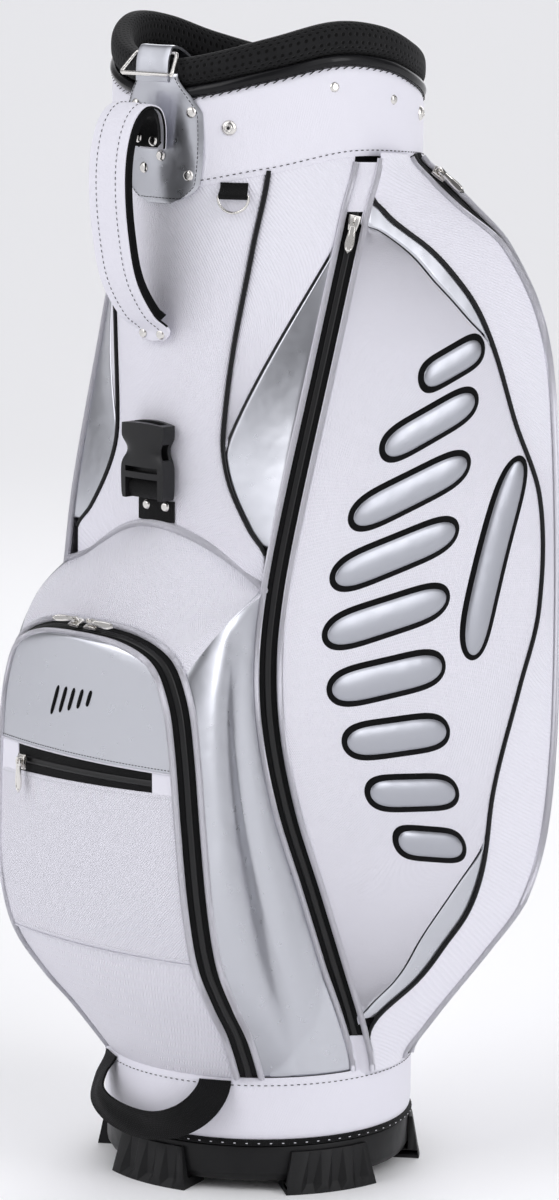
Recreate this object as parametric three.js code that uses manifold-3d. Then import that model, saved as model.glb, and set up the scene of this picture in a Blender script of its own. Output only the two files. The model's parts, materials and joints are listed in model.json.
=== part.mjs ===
// Golf staff bag, standing on its base: millimetres, +Z up, front pocket towards -Y.
// The origin is on the floor, under the middle of the whole bag's box.
import * as THREE from "three";
import { mergeVertices } from "three/addons/utils/BufferGeometryUtils.js";
import Module from "manifold-3d";

const wasm = await Module();
wasm.setup();

// ---- Driving dimensions ----
const coreInner = 113.7; // rolled board tube inside the bag
const coreOuter = 115.7;
const coverRadius = 119.2; // outside of the sewn cover where it lies on the tube
const skin = 2.2; // cover with its foam backing
const gap = 0.35; // clearance between neighbouring pieces
const seam = 1.6; // how far a panel stops short of its seam line
const wideSeam = 2.6; // the same beside the curved piping of the side pockets

const trayRadius = 121;
const trayBottom = 7;
const trayTop = 37;
const footCount = 5;
const footRadius = 130.5;
const footTop = 33;
const footHalfAngle = 18;
const footRibs = 4;

const cuffRadius = 122.4; // bottom band
const cuffBottom = 43.4;
const cuffTop = 91.4;
const topCuffRadius = 120.4; // band round the mouth
const collarOuter = 123.6;
const collarInner = 103.5;
const pipingHeight = 9;

const zipWidth = 18;
const zipThickness = 1.4;
const sideBulge = 5;
const ballZipWidth = 20;
const faceZipHeight = 338;
const shoulderTop = 522; // seam of the pocket shoulder at the middle of the body
const shoulderDrop = 40; // how much lower that seam is at the side zips
const shoulderAngle = 44;
const gussetStart = 514; // lower edge of the gusset between that seam and the side zip

const handleHalfWidth = 19;
const webbingWidth = 38;
const webbingBottom = 524.5; // webbing of the buckle, from the shoulder seam up
const webbingTop = 541;
const ringWire = 1.9;
const towelWire = 1.3;
const towelAngle = 32; // where the towel ring hangs
const buckle = { width: 46, height: 58, thickness: 13, corner: 7, middle: 571.5 };
const grabLoop = { halfSpan: 60, drop: 41, halfWidth: 13, seam: 90 };
const slider = { width: 9, length: 12, corner: 3, thickness: 3.2, rise: 1 };
const puller = { width: 7, length: 27, corner: 3, thickness: 1.5, rise: 5, hang: 10.5 };

const roundSteps = 48; // flats round the tube, cuffs and rims
const degreesPerRadian = 57.3;
const fittingRadius = 122; // the curve that small fittings follow round the bag

// ---- Finishes ----
const finish = (color, roughness, metalness = 0) => () =>
  new THREE.MeshStandardMaterial({ color, roughness, metalness });
const whitePU = finish(0xe9e8f2, 0.45);
const silverPU = finish(0xb9bcc4, 0.28, 0.6);
const blackPVC = finish(0x111113, 0.2);
const mesh = finish(0x1b1b1d, 0.9);
const nylon = finish(0x151517, 0.75);
const rubber = finish(0x1a1a1c, 0.6);
const chrome = finish(0xd8d8da, 0.15, 1);
const board = finish(0x8d8d90, 0.8);

const bag = new THREE.Group();

// ---- Helpers ----
const lerp = THREE.MathUtils.lerp;
const rad = THREE.MathUtils.degToRad;

// A point at an angle from the front (-Y) towards +X, a distance from the axis, and a height.
const polar = (degrees, radius, z) =>
  new THREE.Vector3(radius * Math.sin(rad(degrees)), -radius * Math.cos(rad(degrees)), z);
const angleOf = (p) => THREE.MathUtils.radToDeg(Math.atan2(p.x, -p.y));

// A smooth curve through [position, value, value...] knots, flat beyond its ends.
function through(knots) {
  const slope = (i, k) => {
    if (i === 0 || i === knots.length - 1) return 0;
    const [a, b] = [knots[i - 1], knots[i + 1]];
    return (b[k] - a[k]) / (b[0] - a[0]);
  };
  return (t, k = 1) => {
    if (t <= knots[0][0]) return knots[0][k];
    if (t >= knots.at(-1)[0]) return knots.at(-1)[k];
    const i = knots.findIndex((knot) => knot[0] > t) - 1;
    const [a, b] = [knots[i], knots[i + 1]];
    const span = b[0] - a[0];
    const s = (t - a[0]) / span;
    const rise = s * s * (3 - 2 * s);
    const start = s * (1 - s) * (1 - s) * span * slope(i, k);
    const end = s * s * (s - 1) * span * slope(i + 1, k);
    return a[k] + rise * (b[k] - a[k]) + start + end;
  };
}

function volume(geometry) {
  const p = geometry.attributes.position;
  const [a, b, c] = [new THREE.Vector3(), new THREE.Vector3(), new THREE.Vector3()];
  let sum = 0;
  for (let i = 0; i < geometry.index.count; i += 3) {
    a.fromBufferAttribute(p, geometry.index.getX(i));
    b.fromBufferAttribute(p, geometry.index.getX(i + 1));
    c.fromBufferAttribute(p, geometry.index.getX(i + 2));
    sum += a.dot(b.cross(c));
  }
  return sum / 6;
}

// Merges shared vertices and turns the faces outwards.
function closed(geometry) {
  geometry.deleteAttribute("normal");
  geometry.deleteAttribute("uv");
  const merged = mergeVertices(geometry, 1e-3);
  const index = merged.index;
  if (volume(merged) < 0)
    for (let i = 0; i < index.count; i += 3) {
      const first = index.getX(i);
      index.setX(i, index.getX(i + 1));
      index.setX(i + 1, first);
    }
  merged.computeVertexNormals();
  return merged;
}

function add(name, geometry, material) {
  const piece = new THREE.Mesh(closed(geometry), material());
  piece.name = name;
  bag.add(piece);
  return piece;
}

// A closed sheet: surface(u, v) is its outside, and the inside lies a thickness behind it.
function sheet(surface, thickness, across, along, outward = 1) {
  const geometry = new THREE.BoxGeometry(1, 1, 1, across, along, 1);
  const p = geometry.attributes.position;
  const step = 1e-3;
  for (let i = 0; i < p.count; i++) {
    const [u, v] = [p.getX(i) + 0.5, p.getY(i) + 0.5];
    const point = surface(u, v);
    if (p.getZ(i) < 0) {
      const [u0, v0] = [Math.min(u, 1 - step), Math.min(v, 1 - step)];
      const du = surface(u0 + step, v0).sub(surface(u0, v0));
      const dv = surface(u0, v0 + step).sub(surface(u0, v0));
      point.addScaledVector(du.cross(dv).normalize(), -outward * thickness);
    }
    p.setXYZ(i, point.x, point.y, point.z);
  }
  return geometry;
}

// A closed ring: surface(u, v) has u once round the ring and v once round its section.
function ring(surface, around, section) {
  const geometry = new THREE.TorusGeometry(2, 1, section, around);
  const [p, uv] = [geometry.attributes.position, geometry.attributes.uv];
  for (let i = 0; i < p.count; i++) {
    const point = surface(uv.getX(i) % 1, uv.getY(i) % 1);
    p.setXYZ(i, point.x, point.y, point.z);
  }
  return geometry;
}

// A band round the bag between two heights that may change with the angle.
function band(inner, outer, bottomAt, topAt, around) {
  const corners = [[outer, 0], [outer, 1], [inner, 1], [inner, 0]];
  return ring((u, v) => {
    const degrees = u * 360;
    const [radius, high] = corners[Math.round(v * 4) % 4];
    return polar(degrees, radius, high ? topAt(degrees) : bottomAt(degrees));
  }, around, 4);
}

// A wire ring through the points of a closed curve, its section round in its own plane.
function wireRing(points, plane, radius, around = 28, section = 6) {
  const path = new THREE.CatmullRomCurve3(points, true, "catmullrom", 0.5);
  return ring((u, v) => {
    const out = path.getTangentAt(u).cross(plane).normalize();
    const angle = v * 2 * Math.PI;
    const point = path.getPointAt(u).addScaledVector(out, radius * Math.cos(angle));
    return point.addScaledVector(plane, radius * Math.sin(angle));
  }, around, section);
}

function manifoldOf(geometry) {
  const merged = closed(geometry);
  const vertProperties = new Float32Array(merged.attributes.position.array);
  const triVerts = new Uint32Array(merged.index.array);
  return new wasm.Manifold(new wasm.Mesh({ numProp: 3, vertProperties, triVerts }));
}

function geometryOf(solid) {
  const made = solid.getMesh();
  const geometry = new THREE.BufferGeometry();
  geometry.setAttribute("position", new THREE.BufferAttribute(made.vertProperties, 3));
  geometry.setIndex(new THREE.BufferAttribute(made.triVerts, 1));
  geometry.setAttribute("normal", new THREE.BufferAttribute(made.vertProperties.slice(), 3));
  geometry.setAttribute("uv", new THREE.BufferAttribute(made.vertProperties.slice(), 3));
  return geometry;
}

const joined = (geometries) =>
  geometryOf(geometries.map(manifoldOf).reduce((whole, piece) => whole.add(piece)));

// The same surface on the right (+X) and, mirrored, on the left of the bag.
const sides = { right: 1, left: -1 };
const onSide = (side, point) => new THREE.Vector3(side * point.x, point.y, point.z);

// ---- Outline of the bag, right-hand side ----
const mirrored = (knots) => (degrees) => {
  const turned = Math.abs(((degrees + 180) % 360) - 180);
  return through(knots)(turned);
};
const mouthBottom = mirrored([[0, 780], [45, 795], [75, 807], [110, 803], [145, 796], [180, 795]]);
const mouthTop = mirrored([[0, 847], [20, 852], [45, 864], [70, 875], [92, 871], [115, 857], [140, 844], [180, 838]]);
const collarHeight = mirrored([[0, 22], [35, 23], [70, 24.5], [120, 24], [180, 26]]);

// Black piping between the front panel and the side gussets: height, x, y.
const frontEdge = through([
  [505, 104, -104], [525, 87, -105], [554, 68, -106], [578, 59, -105.3],
  [599, 57.5, -104.6], [660, 63.5, -101], [737, 75, -93], [810, 84, -84.6],
]);
// Middle of the long zip at the front of the side pocket: height, x, y.
const frontZip = through([
  [92, 120.5, -9], [125, 119, -17], [176, 117.5, -36.5], [245, 115.8, -64], [311, 114.5, -91],
  [376, 113.8, -108], [430, 113.8, -111.5], [482, 114.2, -104.8], [542, 117.3, -92.5],
  [647, 120.6, -63.8], [767, 124, -31], [810, 124.5, -18],
]);
// Furthest reach of the side pocket at its back corner, and how much of that is zip.
const pocketReach = through([
  [91, 121, 6], [116, 136, 5], [177, 185, 4], [214, 211, 3.5], [278, 227, 2.5], [400, 232.5, 2],
  [580, 228, 2], [671, 216.5, 2], [735, 187, 4], [764, 160.5, 12], [785, 139.3, 13], [806, 119, 9],
]);
const reachWay = polar(134, 1, 0);
const crossWay = polar(44, 1, 0);
const backAngle = 156; // where the back gusset meets the back panel
const backBulge = 8;

const cornerAt = (reach, cross, z) =>
  new THREE.Vector3(0, 0, z).addScaledVector(reachWay, reach).addScaledVector(crossWay, cross);
const zipHalf = polar(135, zipWidth / 2, 0);

const outlineAt = (z) => {
  const reach = pocketReach(z);
  const zipReach = reach - pocketReach(z, 2);
  const cross = 49 - (23 * (reach - 119)) / 113;
  const middle = new THREE.Vector3(frontZip(z), frontZip(z, 2), z);
  const turn = Math.sqrt(Math.max(zipWidth ** 2 - (reach - zipReach) ** 2, 9));
  return {
    front: new THREE.Vector3(frontEdge(z), frontEdge(z, 2), z),
    zipFront: middle.clone().sub(zipHalf),
    zipBack: middle.clone().add(zipHalf),
    corner: cornerAt(zipReach, cross, z),
    cornerBack: cornerAt(reach, cross - turn, z),
    back: polar(backAngle, coverRadius, z),
  };
};

// A panel between two lines of the outline, lying on the tube wherever it would cut into it.
function panel(side, from, to, bottomAt, topAt, bulge = 0, trim = seam, split = [() => 0, () => 1]) {
  const at = (u, z) => {
    const lines = outlineAt(z);
    const [a, b] = [lines[from], lines[to]];
    const length = Math.max(a.distanceTo(b), 1);
    const [low, high] = [split[0](z) + trim / length, split[1](z) - trim / length];
    const along = lerp(Math.min(low, high - 0.02), high, u);
    const point = a.clone().lerp(b, along);
    const out = new THREE.Vector3().crossVectors(b.clone().sub(a), new THREE.Vector3(0, 0, 1));
    point.addScaledVector(out.normalize(), bulge * Math.sin(Math.PI * along) * Math.min(1, length / 60));
    const radius = Math.hypot(point.x, point.y);
    const grow = Math.max(coverRadius / radius, 1);
    return new THREE.Vector3(point.x * grow, point.y * grow, z);
  };
  return (u, v) => {
    const bottom = bottomAt(u);
    const top = topAt(angleOf(at(u, topAt(90))));
    return onSide(side, at(u, lerp(bottom, top, (1 - Math.cos(Math.PI * v)) / 2)));
  };
}

const aboveCuff = () => cuffTop + gap;
const underMouth = (degrees) => mouthBottom(degrees) - gap;

// ---- Base ----
function addBase() {
  const profile = [
    [0, trayBottom], [112, trayBottom], [118, trayBottom + 2], [trayRadius, trayBottom + 7],
    [trayRadius, trayTop], [trayRadius - 4, trayTop], [trayRadius - 4, trayBottom + 5], [0, trayBottom + 5],
  ].map(([x, y]) => new THREE.Vector2(x, y));
  const tray = new THREE.LatheGeometry(profile, roundSteps);
  tray.rotateX(Math.PI / 2);
  add("base_tray", tray, rubber);

  for (let i = 0; i < footCount; i++) {
    const middle = (i * 360) / footCount;
    const rows = [
      [0, 96, footRadius], [trayBottom - gap, 96, footRadius - 1.2],
      [trayBottom, trayRadius + gap, footRadius - 1.3], [footTop, trayRadius + gap, trayRadius + 3.4],
    ];
    const geometry = new THREE.BoxGeometry(1, 1, 1, 4 * footRibs - 2, rows.length - 1, 1);
    const p = geometry.attributes.position;
    for (let k = 0; k < p.count; k++) {
      const across = p.getX(k) + 0.5;
      const row = Math.round((p.getY(k) + 0.5) * (rows.length - 1));
      const [z, inner, outer] = rows[row];
      const column = Math.round(across * (4 * footRibs - 2));
      const flare = lerp(1, 0.86, z / footTop);
      const groovePlace = [3, 4, 7, 8, 11, 12].includes(column) && row > 0 && row < 3;
      const radius = p.getZ(k) > 0 ? outer - (groovePlace ? 4.5 : 0) : inner;
      const point = polar(middle + (across * 2 - 1) * footHalfAngle * flare, radius, z);
      p.setXYZ(k, point.x, point.y, point.z);
    }
    add(`foot_${i + 1}`, geometry, rubber);
  }

  const bindingMiddle = (trayTop + gap + cuffBottom - gap) / 2;
  const bindingHalf = bindingMiddle - trayTop - gap;
  add("base_binding", ring((u, v) => {
    const angle = v * 2 * Math.PI;
    return polar(u * 360, 120.4 + 3 * Math.cos(angle), bindingMiddle + bindingHalf * Math.sin(angle));
  }, roundSteps, 5), nylon);
  add("bottom_cuff", band(coreOuter + gap, cuffRadius, () => cuffBottom, () => cuffTop, roundSteps), whitePU);
  add("body_tube", band(coreInner, coreOuter, () => trayBottom + 6, () => 790, roundSteps), board);
}

// ---- Mouth: divider frame, curtains, cuff, piping and collar ----
const dividerBars = { x: 34, halfThick: 5, bottom: 796, top: 822 };

function addDividers() {
  const { x, halfThick, bottom, top } = dividerBars;
  const height = top - bottom;
  const rim = band(collarInner + 2.5, coreInner - gap, () => bottom, () => top, roundSteps);
  const bar = (width, depth, cx, cy) =>
    new THREE.BoxGeometry(width, depth, height - 2).translate(cx, cy, bottom + height / 2);
  const reach = 2 * (collarInner + 4);
  const sideReach = 2 * Math.sqrt((collarInner + 4) ** 2 - x ** 2);
  add("divider_frame", joined([
    rim, bar(2 * halfThick, sideReach, x, 0), bar(2 * halfThick, sideReach, -x, 0), bar(reach, 2 * halfThick, 0, 0),
  ]), mesh);

  const drop = bottom - gap - trayBottom - 6;
  const curtain = (width, depth, cx, cy) =>
    new THREE.BoxGeometry(width, depth, drop).translate(cx, cy, trayBottom + 6 + drop / 2);
  add("divider_curtains", joined([
    curtain(1.4, sideReach, x, 0), curtain(1.4, sideReach, -x, 0), curtain(reach + 4, 1.4, 0, 0),
  ]), nylon);
}

function addMouth() {
  const inner = coreOuter + gap;
  add("top_cuff", band(inner, topCuffRadius, mouthBottom, mouthTop, roundSteps), whitePU);
  add("collar_piping", ring((u, v) => {
    const degrees = u * 360;
    const angle = v * 2 * Math.PI;
    const middle = mouthTop(degrees) + gap + pipingHeight / 2;
    return polar(degrees, 119 + 3.6 * Math.cos(angle), middle + (pipingHeight / 2) * Math.sin(angle));
  }, roundSteps, 5), blackPVC);
  const middleRadius = (collarOuter + collarInner) / 2;
  const halfWidth = (collarOuter - collarInner) / 2;
  add("collar_pad", ring((u, v) => {
    const degrees = u * 360;
    const angle = v * 2 * Math.PI;
    const low = mouthTop(degrees) + pipingHeight + 2 * gap;
    const half = collarHeight(degrees) / 2;
    const square = (c) => Math.sign(c) * Math.abs(c) ** 0.7;
    const radius = middleRadius + halfWidth * square(Math.cos(angle));
    return polar(degrees, radius, low + half + half * square(Math.sin(angle)));
  }, roundSteps, 8), mesh);
}

// ---- Covers of the body ----
function addBody() {
  const bottomAt = (across) => shoulderTop - shoulderDrop * across * across + 1;
  add("front_panel", sheet((u, v) => {
    const across = u * 2 - 1;
    const level = (z) => {
      const edge = outlineAt(z).front;
      const spread = angleOf(edge) - 1.2;
      const radius = lerp(coverRadius, Math.hypot(edge.x, edge.y), Math.abs(across) ** 3);
      return polar(spread * across, Math.max(radius, coverRadius), z);
    };
    const top = underMouth(angleOf(level(790)));
    return level(lerp(bottomAt(across), top, v));
  }, skin, 10, 10), whitePU);

  const backEdge = 360 - 2 * backAngle;
  add("back_panel", sheet((u, v) => {
    const degrees = backAngle + 0.8 + u * (backEdge - 1.6);
    return polar(degrees, coverRadius, lerp(cuffTop + gap, underMouth(degrees), v));
  }, skin, 6, 3), whitePU);
}

// Where the black piping divides the outer panel from the gusset behind it, as a share of the width.
const pipingShare = through([
  [114, 0], [130, 0.11], [159, 0.5], [193, 0.645], [228, 0.717], [308, 0.76], [388, 0.858], [450, 0.93],
  [540, 0.93], [603, 0.818], [677, 0.7], [706, 0.62], [736, 0.46], [767, 0.14], [778, 0],
]);

function addSidePocket(name, side) {
  add(`${name}_front_gusset`, sheet(
    panel(side, "front", "zipFront", () => gussetStart, underMouth), skin, 3, 12, side), whitePU);
  add(`${name}_front_zip`, sheet(
    panel(side, "zipFront", "zipBack", aboveCuff, underMouth, 0, 1.2), zipThickness, 1, 24, side), nylon);
  add(`${name}_side_panel`, sheet(
    panel(side, "zipBack", "corner", () => 130, () => 766, sideBulge, wideSeam, [() => 0, pipingShare]),
    skin, 6, 22, side), whitePU);
  add(`${name}_side_gusset`, sheet(
    panel(side, "zipBack", "corner", aboveCuff, underMouth, sideBulge, wideSeam, [pipingShare, () => 1]),
    skin, 2, 26, side), whitePU);
  add(`${name}_back_zip`, sheet(
    panel(side, "corner", "cornerBack", aboveCuff, underMouth, 0, 1.2), zipThickness, 1, 24, side), nylon);
  add(`${name}_back_gusset`, sheet(
    panel(side, "cornerBack", "back", aboveCuff, underMouth, backBulge, wideSeam), skin, 4, 16, side), whitePU);
}

// ---- Front (ball) pocket, a U-shaped zip round its face ----
// Edge of the face from the bottom of one side to the middle of the top: share, x, y, z, turn.
const faceEdge = through([
  [0, 71.7, -98.7, 92, 0], [0.107, 84, -125, 130, 0], [0.194, 92, -149, 159, 0], [0.297, 99, -174, 197, 0],
  [0.408, 101, -187, 245, 0], [0.546, 97.4, -191.7, 306, 0], [0.683, 92.5, -194, 367, 0],
  [0.763, 86, -195, 402, 25], [0.832, 72, -197, 429, 50], [0.905, 42, -201, 442, 78], [1, 0, -204, 445, 90],
]);
const faceBulge = through([[92, 23], [200, 13], [445, 11]]);
const cornerShare = 0.8; // where the shoulder panel ends and the side gusset begins
const facePoint = (share) => new THREE.Vector3(...[1, 2, 3].map((k) => faceEdge(share, k)));
function gussetPoint(share) {
  const turn = rad(faceEdge(share, 4));
  const way = new THREE.Vector3(0.7 * Math.cos(turn), 0.72, 0.33 * Math.sin(turn)).normalize();
  return facePoint(share).addScaledVector(way, ballZipWidth);
}
function faceSurface(x, share, proud = 0) {
  const edge = facePoint(share);
  const rise = faceBulge(edge.z);
  const radius = (edge.x ** 2 + rise ** 2) / (2 * rise);
  return new THREE.Vector3(x, edge.y - rise + radius - Math.sqrt(radius ** 2 - x ** 2) - proud, edge.z);
}
// A point a few millimetres in from the end a of the line from a to b.
const inFrom = (a, b, distance) => a.clone().lerp(b, distance / Math.max(a.distanceTo(b), 1));

function addBallPocket() {
  const topShare = 0.885;
  add("ball_face", sheet((u, v) => {
    const share = Math.max(v * topShare, 0.004);
    return faceSurface((u * 2 - 1) * (facePoint(share).x - wideSeam), share);
  }, skin, 8, 12), whitePU);
  add("ball_zip", sheet((u, v) => {
    const share = Math.max(1 - Math.abs(v * 2 - 1), 0.02);
    const [face, gusset] = [facePoint(share), gussetPoint(share)];
    const point = inFrom(face, gusset, 1).lerp(inFrom(gusset, face, 1), u);
    return onSide(v < 0.5 ? 1 : -1, point);
  }, zipThickness, 1, 44, -1), nylon);
  add("ball_shoulder", sheet((u, v) => {
    const across = u * 2 - 1;
    const degrees = across * (shoulderAngle - 1.4);
    const radius = lerp(coverRadius, 150, Math.abs(across) ** 3);
    const body = polar(degrees, radius, shoulderTop - shoulderDrop * across * across - 1);
    const gusset = gussetPoint(1 - (1 - cornerShare) * Math.abs(across) * 0.97);
    const front = onSide(Math.sign(across) || 1, gusset);
    const point = body.clone().lerp(inFrom(front, body, seam), v);
    const out = polar(degrees, 1, 0.7).normalize();
    return point.addScaledVector(out, 8 * Math.sin(Math.PI * v));
  }, skin, 10, 5, -1), whitePU);
  for (const [name, side] of Object.entries(sides))
    add(`ball_side_${name}`, sheet((u, v) => {
      const share = v * (cornerShare - 0.01);
      const front = gussetPoint(share);
      const lift = 58 * (share / cornerShare) ** 2;
      const height = front.z + lift;
      const back = outlineAt(height).zipFront;
      const point = inFrom(front, back, seam).lerp(inFrom(back, front, wideSeam), u);
      const radius = Math.hypot(point.x, point.y);
      const grow = Math.max(coverRadius / radius, 1);
      return onSide(side, new THREE.Vector3(point.x * grow, point.y * grow, Math.max(point.z, cuffTop + gap)));
    }, skin, 4, 12, side), silverPU);

  const zipShare = 0.62; // height of the face zip, as a share of the face edge
  add("face_zip", sheet((u, v) => {
    const point = faceSurface(lerp(-68, 84, u), zipShare, gap + zipThickness);
    point.z = faceZipHeight + (v - 0.5) * 14;
    return point;
  }, zipThickness, 12, 1), nylon);
}

// ---- Fittings on the front of the bag ----
const roundedPlate = (width, height, corner, thickness) => {
  const [x, y] = [width / 2, height / 2];
  const outline = new THREE.Shape();
  outline.moveTo(-x + corner, -y);
  outline.lineTo(x - corner, -y).quadraticCurveTo(x, -y, x, -y + corner);
  outline.lineTo(x, y - corner).quadraticCurveTo(x, y, x - corner, y);
  outline.lineTo(-x + corner, y).quadraticCurveTo(-x, y, -x, y - corner);
  outline.lineTo(-x, -y + corner).quadraticCurveTo(-x, -y, -x + corner, -y);
  return new THREE.ExtrudeGeometry(outline, { depth: thickness, bevelEnabled: false, curveSegments: 2 });
};

// Puts a piece drawn in the x-y plane, its outside towards +Z, on the bag.
function placed(geometry, origin, outward, down) {
  const up = down.clone().negate().normalize();
  const right = new THREE.Vector3().crossVectors(up, outward).normalize();
  const straight = new THREE.Vector3().crossVectors(right, up);
  const matrix = new THREE.Matrix4().makeBasis(right, up, straight).setPosition(origin);
  return geometry.applyMatrix4(matrix);
}

// A strap along a smooth path in the plane x = 0, its thickness on the inner side.
function strap(points, halfWidth, thickness, steps) {
  const path = new THREE.CatmullRomCurve3(points.map(([y, z]) => new THREE.Vector3(0, y, z)), false, "centripetal");
  return sheet((u, v) => path.getPointAt(v).setX((u * 2 - 1) * halfWidth), thickness, 2, steps);
}

function addYoke() {
  const halfWidth = through([[770, 12], [775, 26], [786, 38], [838, 40], [850, 32], [864, 21], [869, 20]]);
  const radius = through([[770, 122.9], [835, 122.9], [846, 123.9], [858, 126], [869, 125.9]]);
  add("yoke_patch", sheet((u, v) => {
    const z = lerp(770, 867, v);
    return polar(((u * 2 - 1) * halfWidth(z) * degreesPerRadian) / fittingRadius, radius(z), z);
  }, 1.8, 6, 12), silverPU);
  add("yoke_tab", strap([
    [-127.9, 862], [-127.8, 872], [-126.6, 881], [-122.6, 889.2], [-116, 889.4], [-107, 885.4],
    [-101.4, 880.4], [-99.8, 868], [-100.2, 850],
  ], 17, 1.8, 16), silverPU);

  const across = new THREE.Vector3(1, 0, 0);
  const top = new THREE.Vector3(0, -121.4, 883.6);
  const low = new THREE.Vector3(0, -133.4, 868);
  const corner = (at, x) => at.clone().addScaledVector(across, x);
  const half = (x) => top.clone().lerp(low, 0.5).addScaledVector(across, x);
  const plane = new THREE.Vector3().crossVectors(across, low.clone().sub(top)).normalize();
  add("strap_ring", wireRing([
    corner(top, -17), corner(top, 17), corner(top, 21), half(24.5), corner(low, 27), corner(low, 22),
    corner(low, -22), corner(low, -27), half(-24.5), corner(top, -21),
  ], plane, ringWire, 40, 6), chrome);
}

function addHandle() {
  const outer = [
    [-127, 811], [-129.5, 829], [-137, 841], [-151, 843.5], [-163, 833], [-170.5, 812], [-172.5, 785],
    [-169, 750], [-160, 714], [-141.5, 686.5], [-124.6, 674], [-122.4, 664],
  ];
  const path = new THREE.CatmullRomCurve3(outer.map(([y, z]) => new THREE.Vector3(0, y, z)), false, "centripetal");
  const taper = (v) => (v < 0.14 ? lerp(0.68, 1, v / 0.14) : 1);
  add("handle", sheet((u, v) => {
    const point = path.getPointAt(v);
    return point.setX((u * 2 - 1) * handleHalfWidth * taper(v));
  }, 2.6, 2, 40), whitePU);
  add("handle_pad", sheet((u, v) => {
    const at = lerp(0.012, 0.93, v);
    const inward = new THREE.Vector3(1, 0, 0).cross(path.getTangentAt(at));
    const point = path.getPointAt(at).addScaledVector(inward, 1.1);
    return point.setX((u * 2 - 1) * (handleHalfWidth - 2) * taper(at));
  }, 4, 2, 36, -1), mesh);
}

function addBuckle() {
  const base = coverRadius + gap;
  add("buckle_webbing", sheet((u, v) => {
    const degrees = ((u - 0.5) * webbingWidth * degreesPerRadian) / base;
    return polar(degrees, base + 1.6, lerp(webbingBottom, webbingTop, v));
  }, 1.6, 4, 1), nylon);
  const { width, height, thickness, corner, middle } = buckle;
  const body = manifoldOf(roundedPlate(width, height, corner, thickness));
  const [deep, depth] = [6.4, thickness / 2]; // the hollow inside, and its middle
  const slot = manifoldOf(new THREE.BoxGeometry(34, 34, deep).translate(0, height / 2 - 15, depth));
  const window = manifoldOf(new THREE.BoxGeometry(60, 15, deep).translate(0, 10, depth));
  const eye = manifoldOf(new THREE.BoxGeometry(39, 6, 20).translate(0, -20, depth));
  const cut = geometryOf(body.subtract(slot).subtract(window).subtract(eye));
  const front = new THREE.Vector3(0, -1, 0);
  const down = new THREE.Vector3(0, 0, -1);
  add("buckle", placed(cut, new THREE.Vector3(0, -(base + 2.6), middle), front, down), nylon);
}

function addTowelRing() {
  const degrees = towelAngle;
  add("towel_loop", sheet((u, v) =>
    polar(degrees + (u - 0.5) * 11.5, coverRadius + gap + 1.6, lerp(774, 785, v)), 1.6, 2, 1), nylon);
  const centre = polar(degrees, 123.1, 777);
  const [right, up] = [polar(degrees + 90, 1, 0), new THREE.Vector3(0, 0, 1)];
  const at = (x, z) => centre.clone().addScaledVector(right, x).addScaledVector(up, z);
  const outline = [at(-11, 1.5), at(0, 1.5), at(11, 1.5)];
  for (let i = 0; i < 7; i++) {
    const angle = -Math.PI * (0.04 + (0.92 * i) / 6);
    outline.push(at(12 * Math.cos(angle), 12 * Math.sin(angle)));
  }
  add("towel_ring", wireRing(outline, polar(degrees, 1, 0), towelWire, 28, 6), chrome);
}

function addGrabLoop() {
  const { halfSpan, drop, halfWidth, seam } = grabLoop;
  const standOff = through([[0, 124.4], [0.12, 134], [0.25, 142], [0.5, 137], [0.75, 142], [0.88, 134], [1, 124.4]]);
  add("grab_loop", sheet((u, v) => {
    const turn = Math.PI * v;
    const reach = (u * 2 - 1) * halfWidth;
    const along = (halfSpan + reach) * Math.cos(turn);
    const height = seam - (drop + reach * 0.9) * Math.sin(turn);
    return polar((along * degreesPerRadian) / fittingRadius, standOff(v), height);
  }, 1.8, 2, 26, -1), nylon);
}

// ---- Zip sliders and pullers ----
function addSlider(name, origin, outward, down) {
  const out = outward.clone().normalize();
  const body = roundedPlate(slider.width, slider.length, slider.corner, slider.thickness);
  body.translate(0, 0, slider.rise);
  add(`${name}_slider`, placed(body, origin, out, down), chrome);
  const plate = roundedPlate(puller.width, puller.length, puller.corner, puller.thickness);
  plate.translate(0, -puller.hang, puller.rise);
  add(`${name}_puller`, placed(plate, origin, out, down), chrome);
}

function addSliders() {
  const runTop = new THREE.Vector3(124, -31, 767);
  const runBottom = new THREE.Vector3(117.3, -92.5, 542);
  const backTop = outlineAt(788);
  const backLow = outlineAt(752);
  for (const [name, side] of Object.entries(sides)) {
    const down = onSide(side, runBottom.clone().sub(runTop));
    const start = onSide(side, runTop).addScaledVector(down.clone().normalize(), 10);
    addSlider(`${name}_front`, start, polar(45 * side, 1, 0), down);
    const middle = (lines) => onSide(side, lines.corner.clone().lerp(lines.cornerBack, 0.5));
    const fall = middle(backLow).sub(middle(backTop));
    const width = onSide(side, backTop.cornerBack.clone().sub(backTop.corner));
    const out = new THREE.Vector3().crossVectors(fall, width).multiplyScalar(side);
    addSlider(`${name}_back`, middle(backTop).addScaledVector(out.clone().normalize(), 2.2), out, fall);
    const share = 0.985;
    const top = onSide(side, facePoint(share).lerp(gussetPoint(share), 0.5));
    top.x = side * 9;
    const across = new THREE.Vector3(side, 0, -0.06);
    const up = new THREE.Vector3(0, -0.44, 0.9);
    addSlider(`ball_${name}`, top.addScaledVector(up, 1.2), up, across);
  }
  const faceStart = faceSurface(-60, 0.62, gap + zipThickness + 0.1);
  faceStart.z = faceZipHeight;
  addSlider("face", faceStart, new THREE.Vector3(-0.14, -1, 0), new THREE.Vector3(0, 0, -1));
}

addBase();
addDividers();
addMouth();
addBody();
for (const [name, side] of Object.entries(sides)) addSidePocket(name, side);
addBallPocket();
addYoke();
addHandle();
addBuckle();
addTowelRing();
addGrabLoop();
addSliders();

// The origin: on the floor, under the middle of the bag's box.
const box = new THREE.Box3().setFromObject(bag);
bag.position.y = -(box.min.y + box.max.y) / 2;

export default bag;
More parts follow.
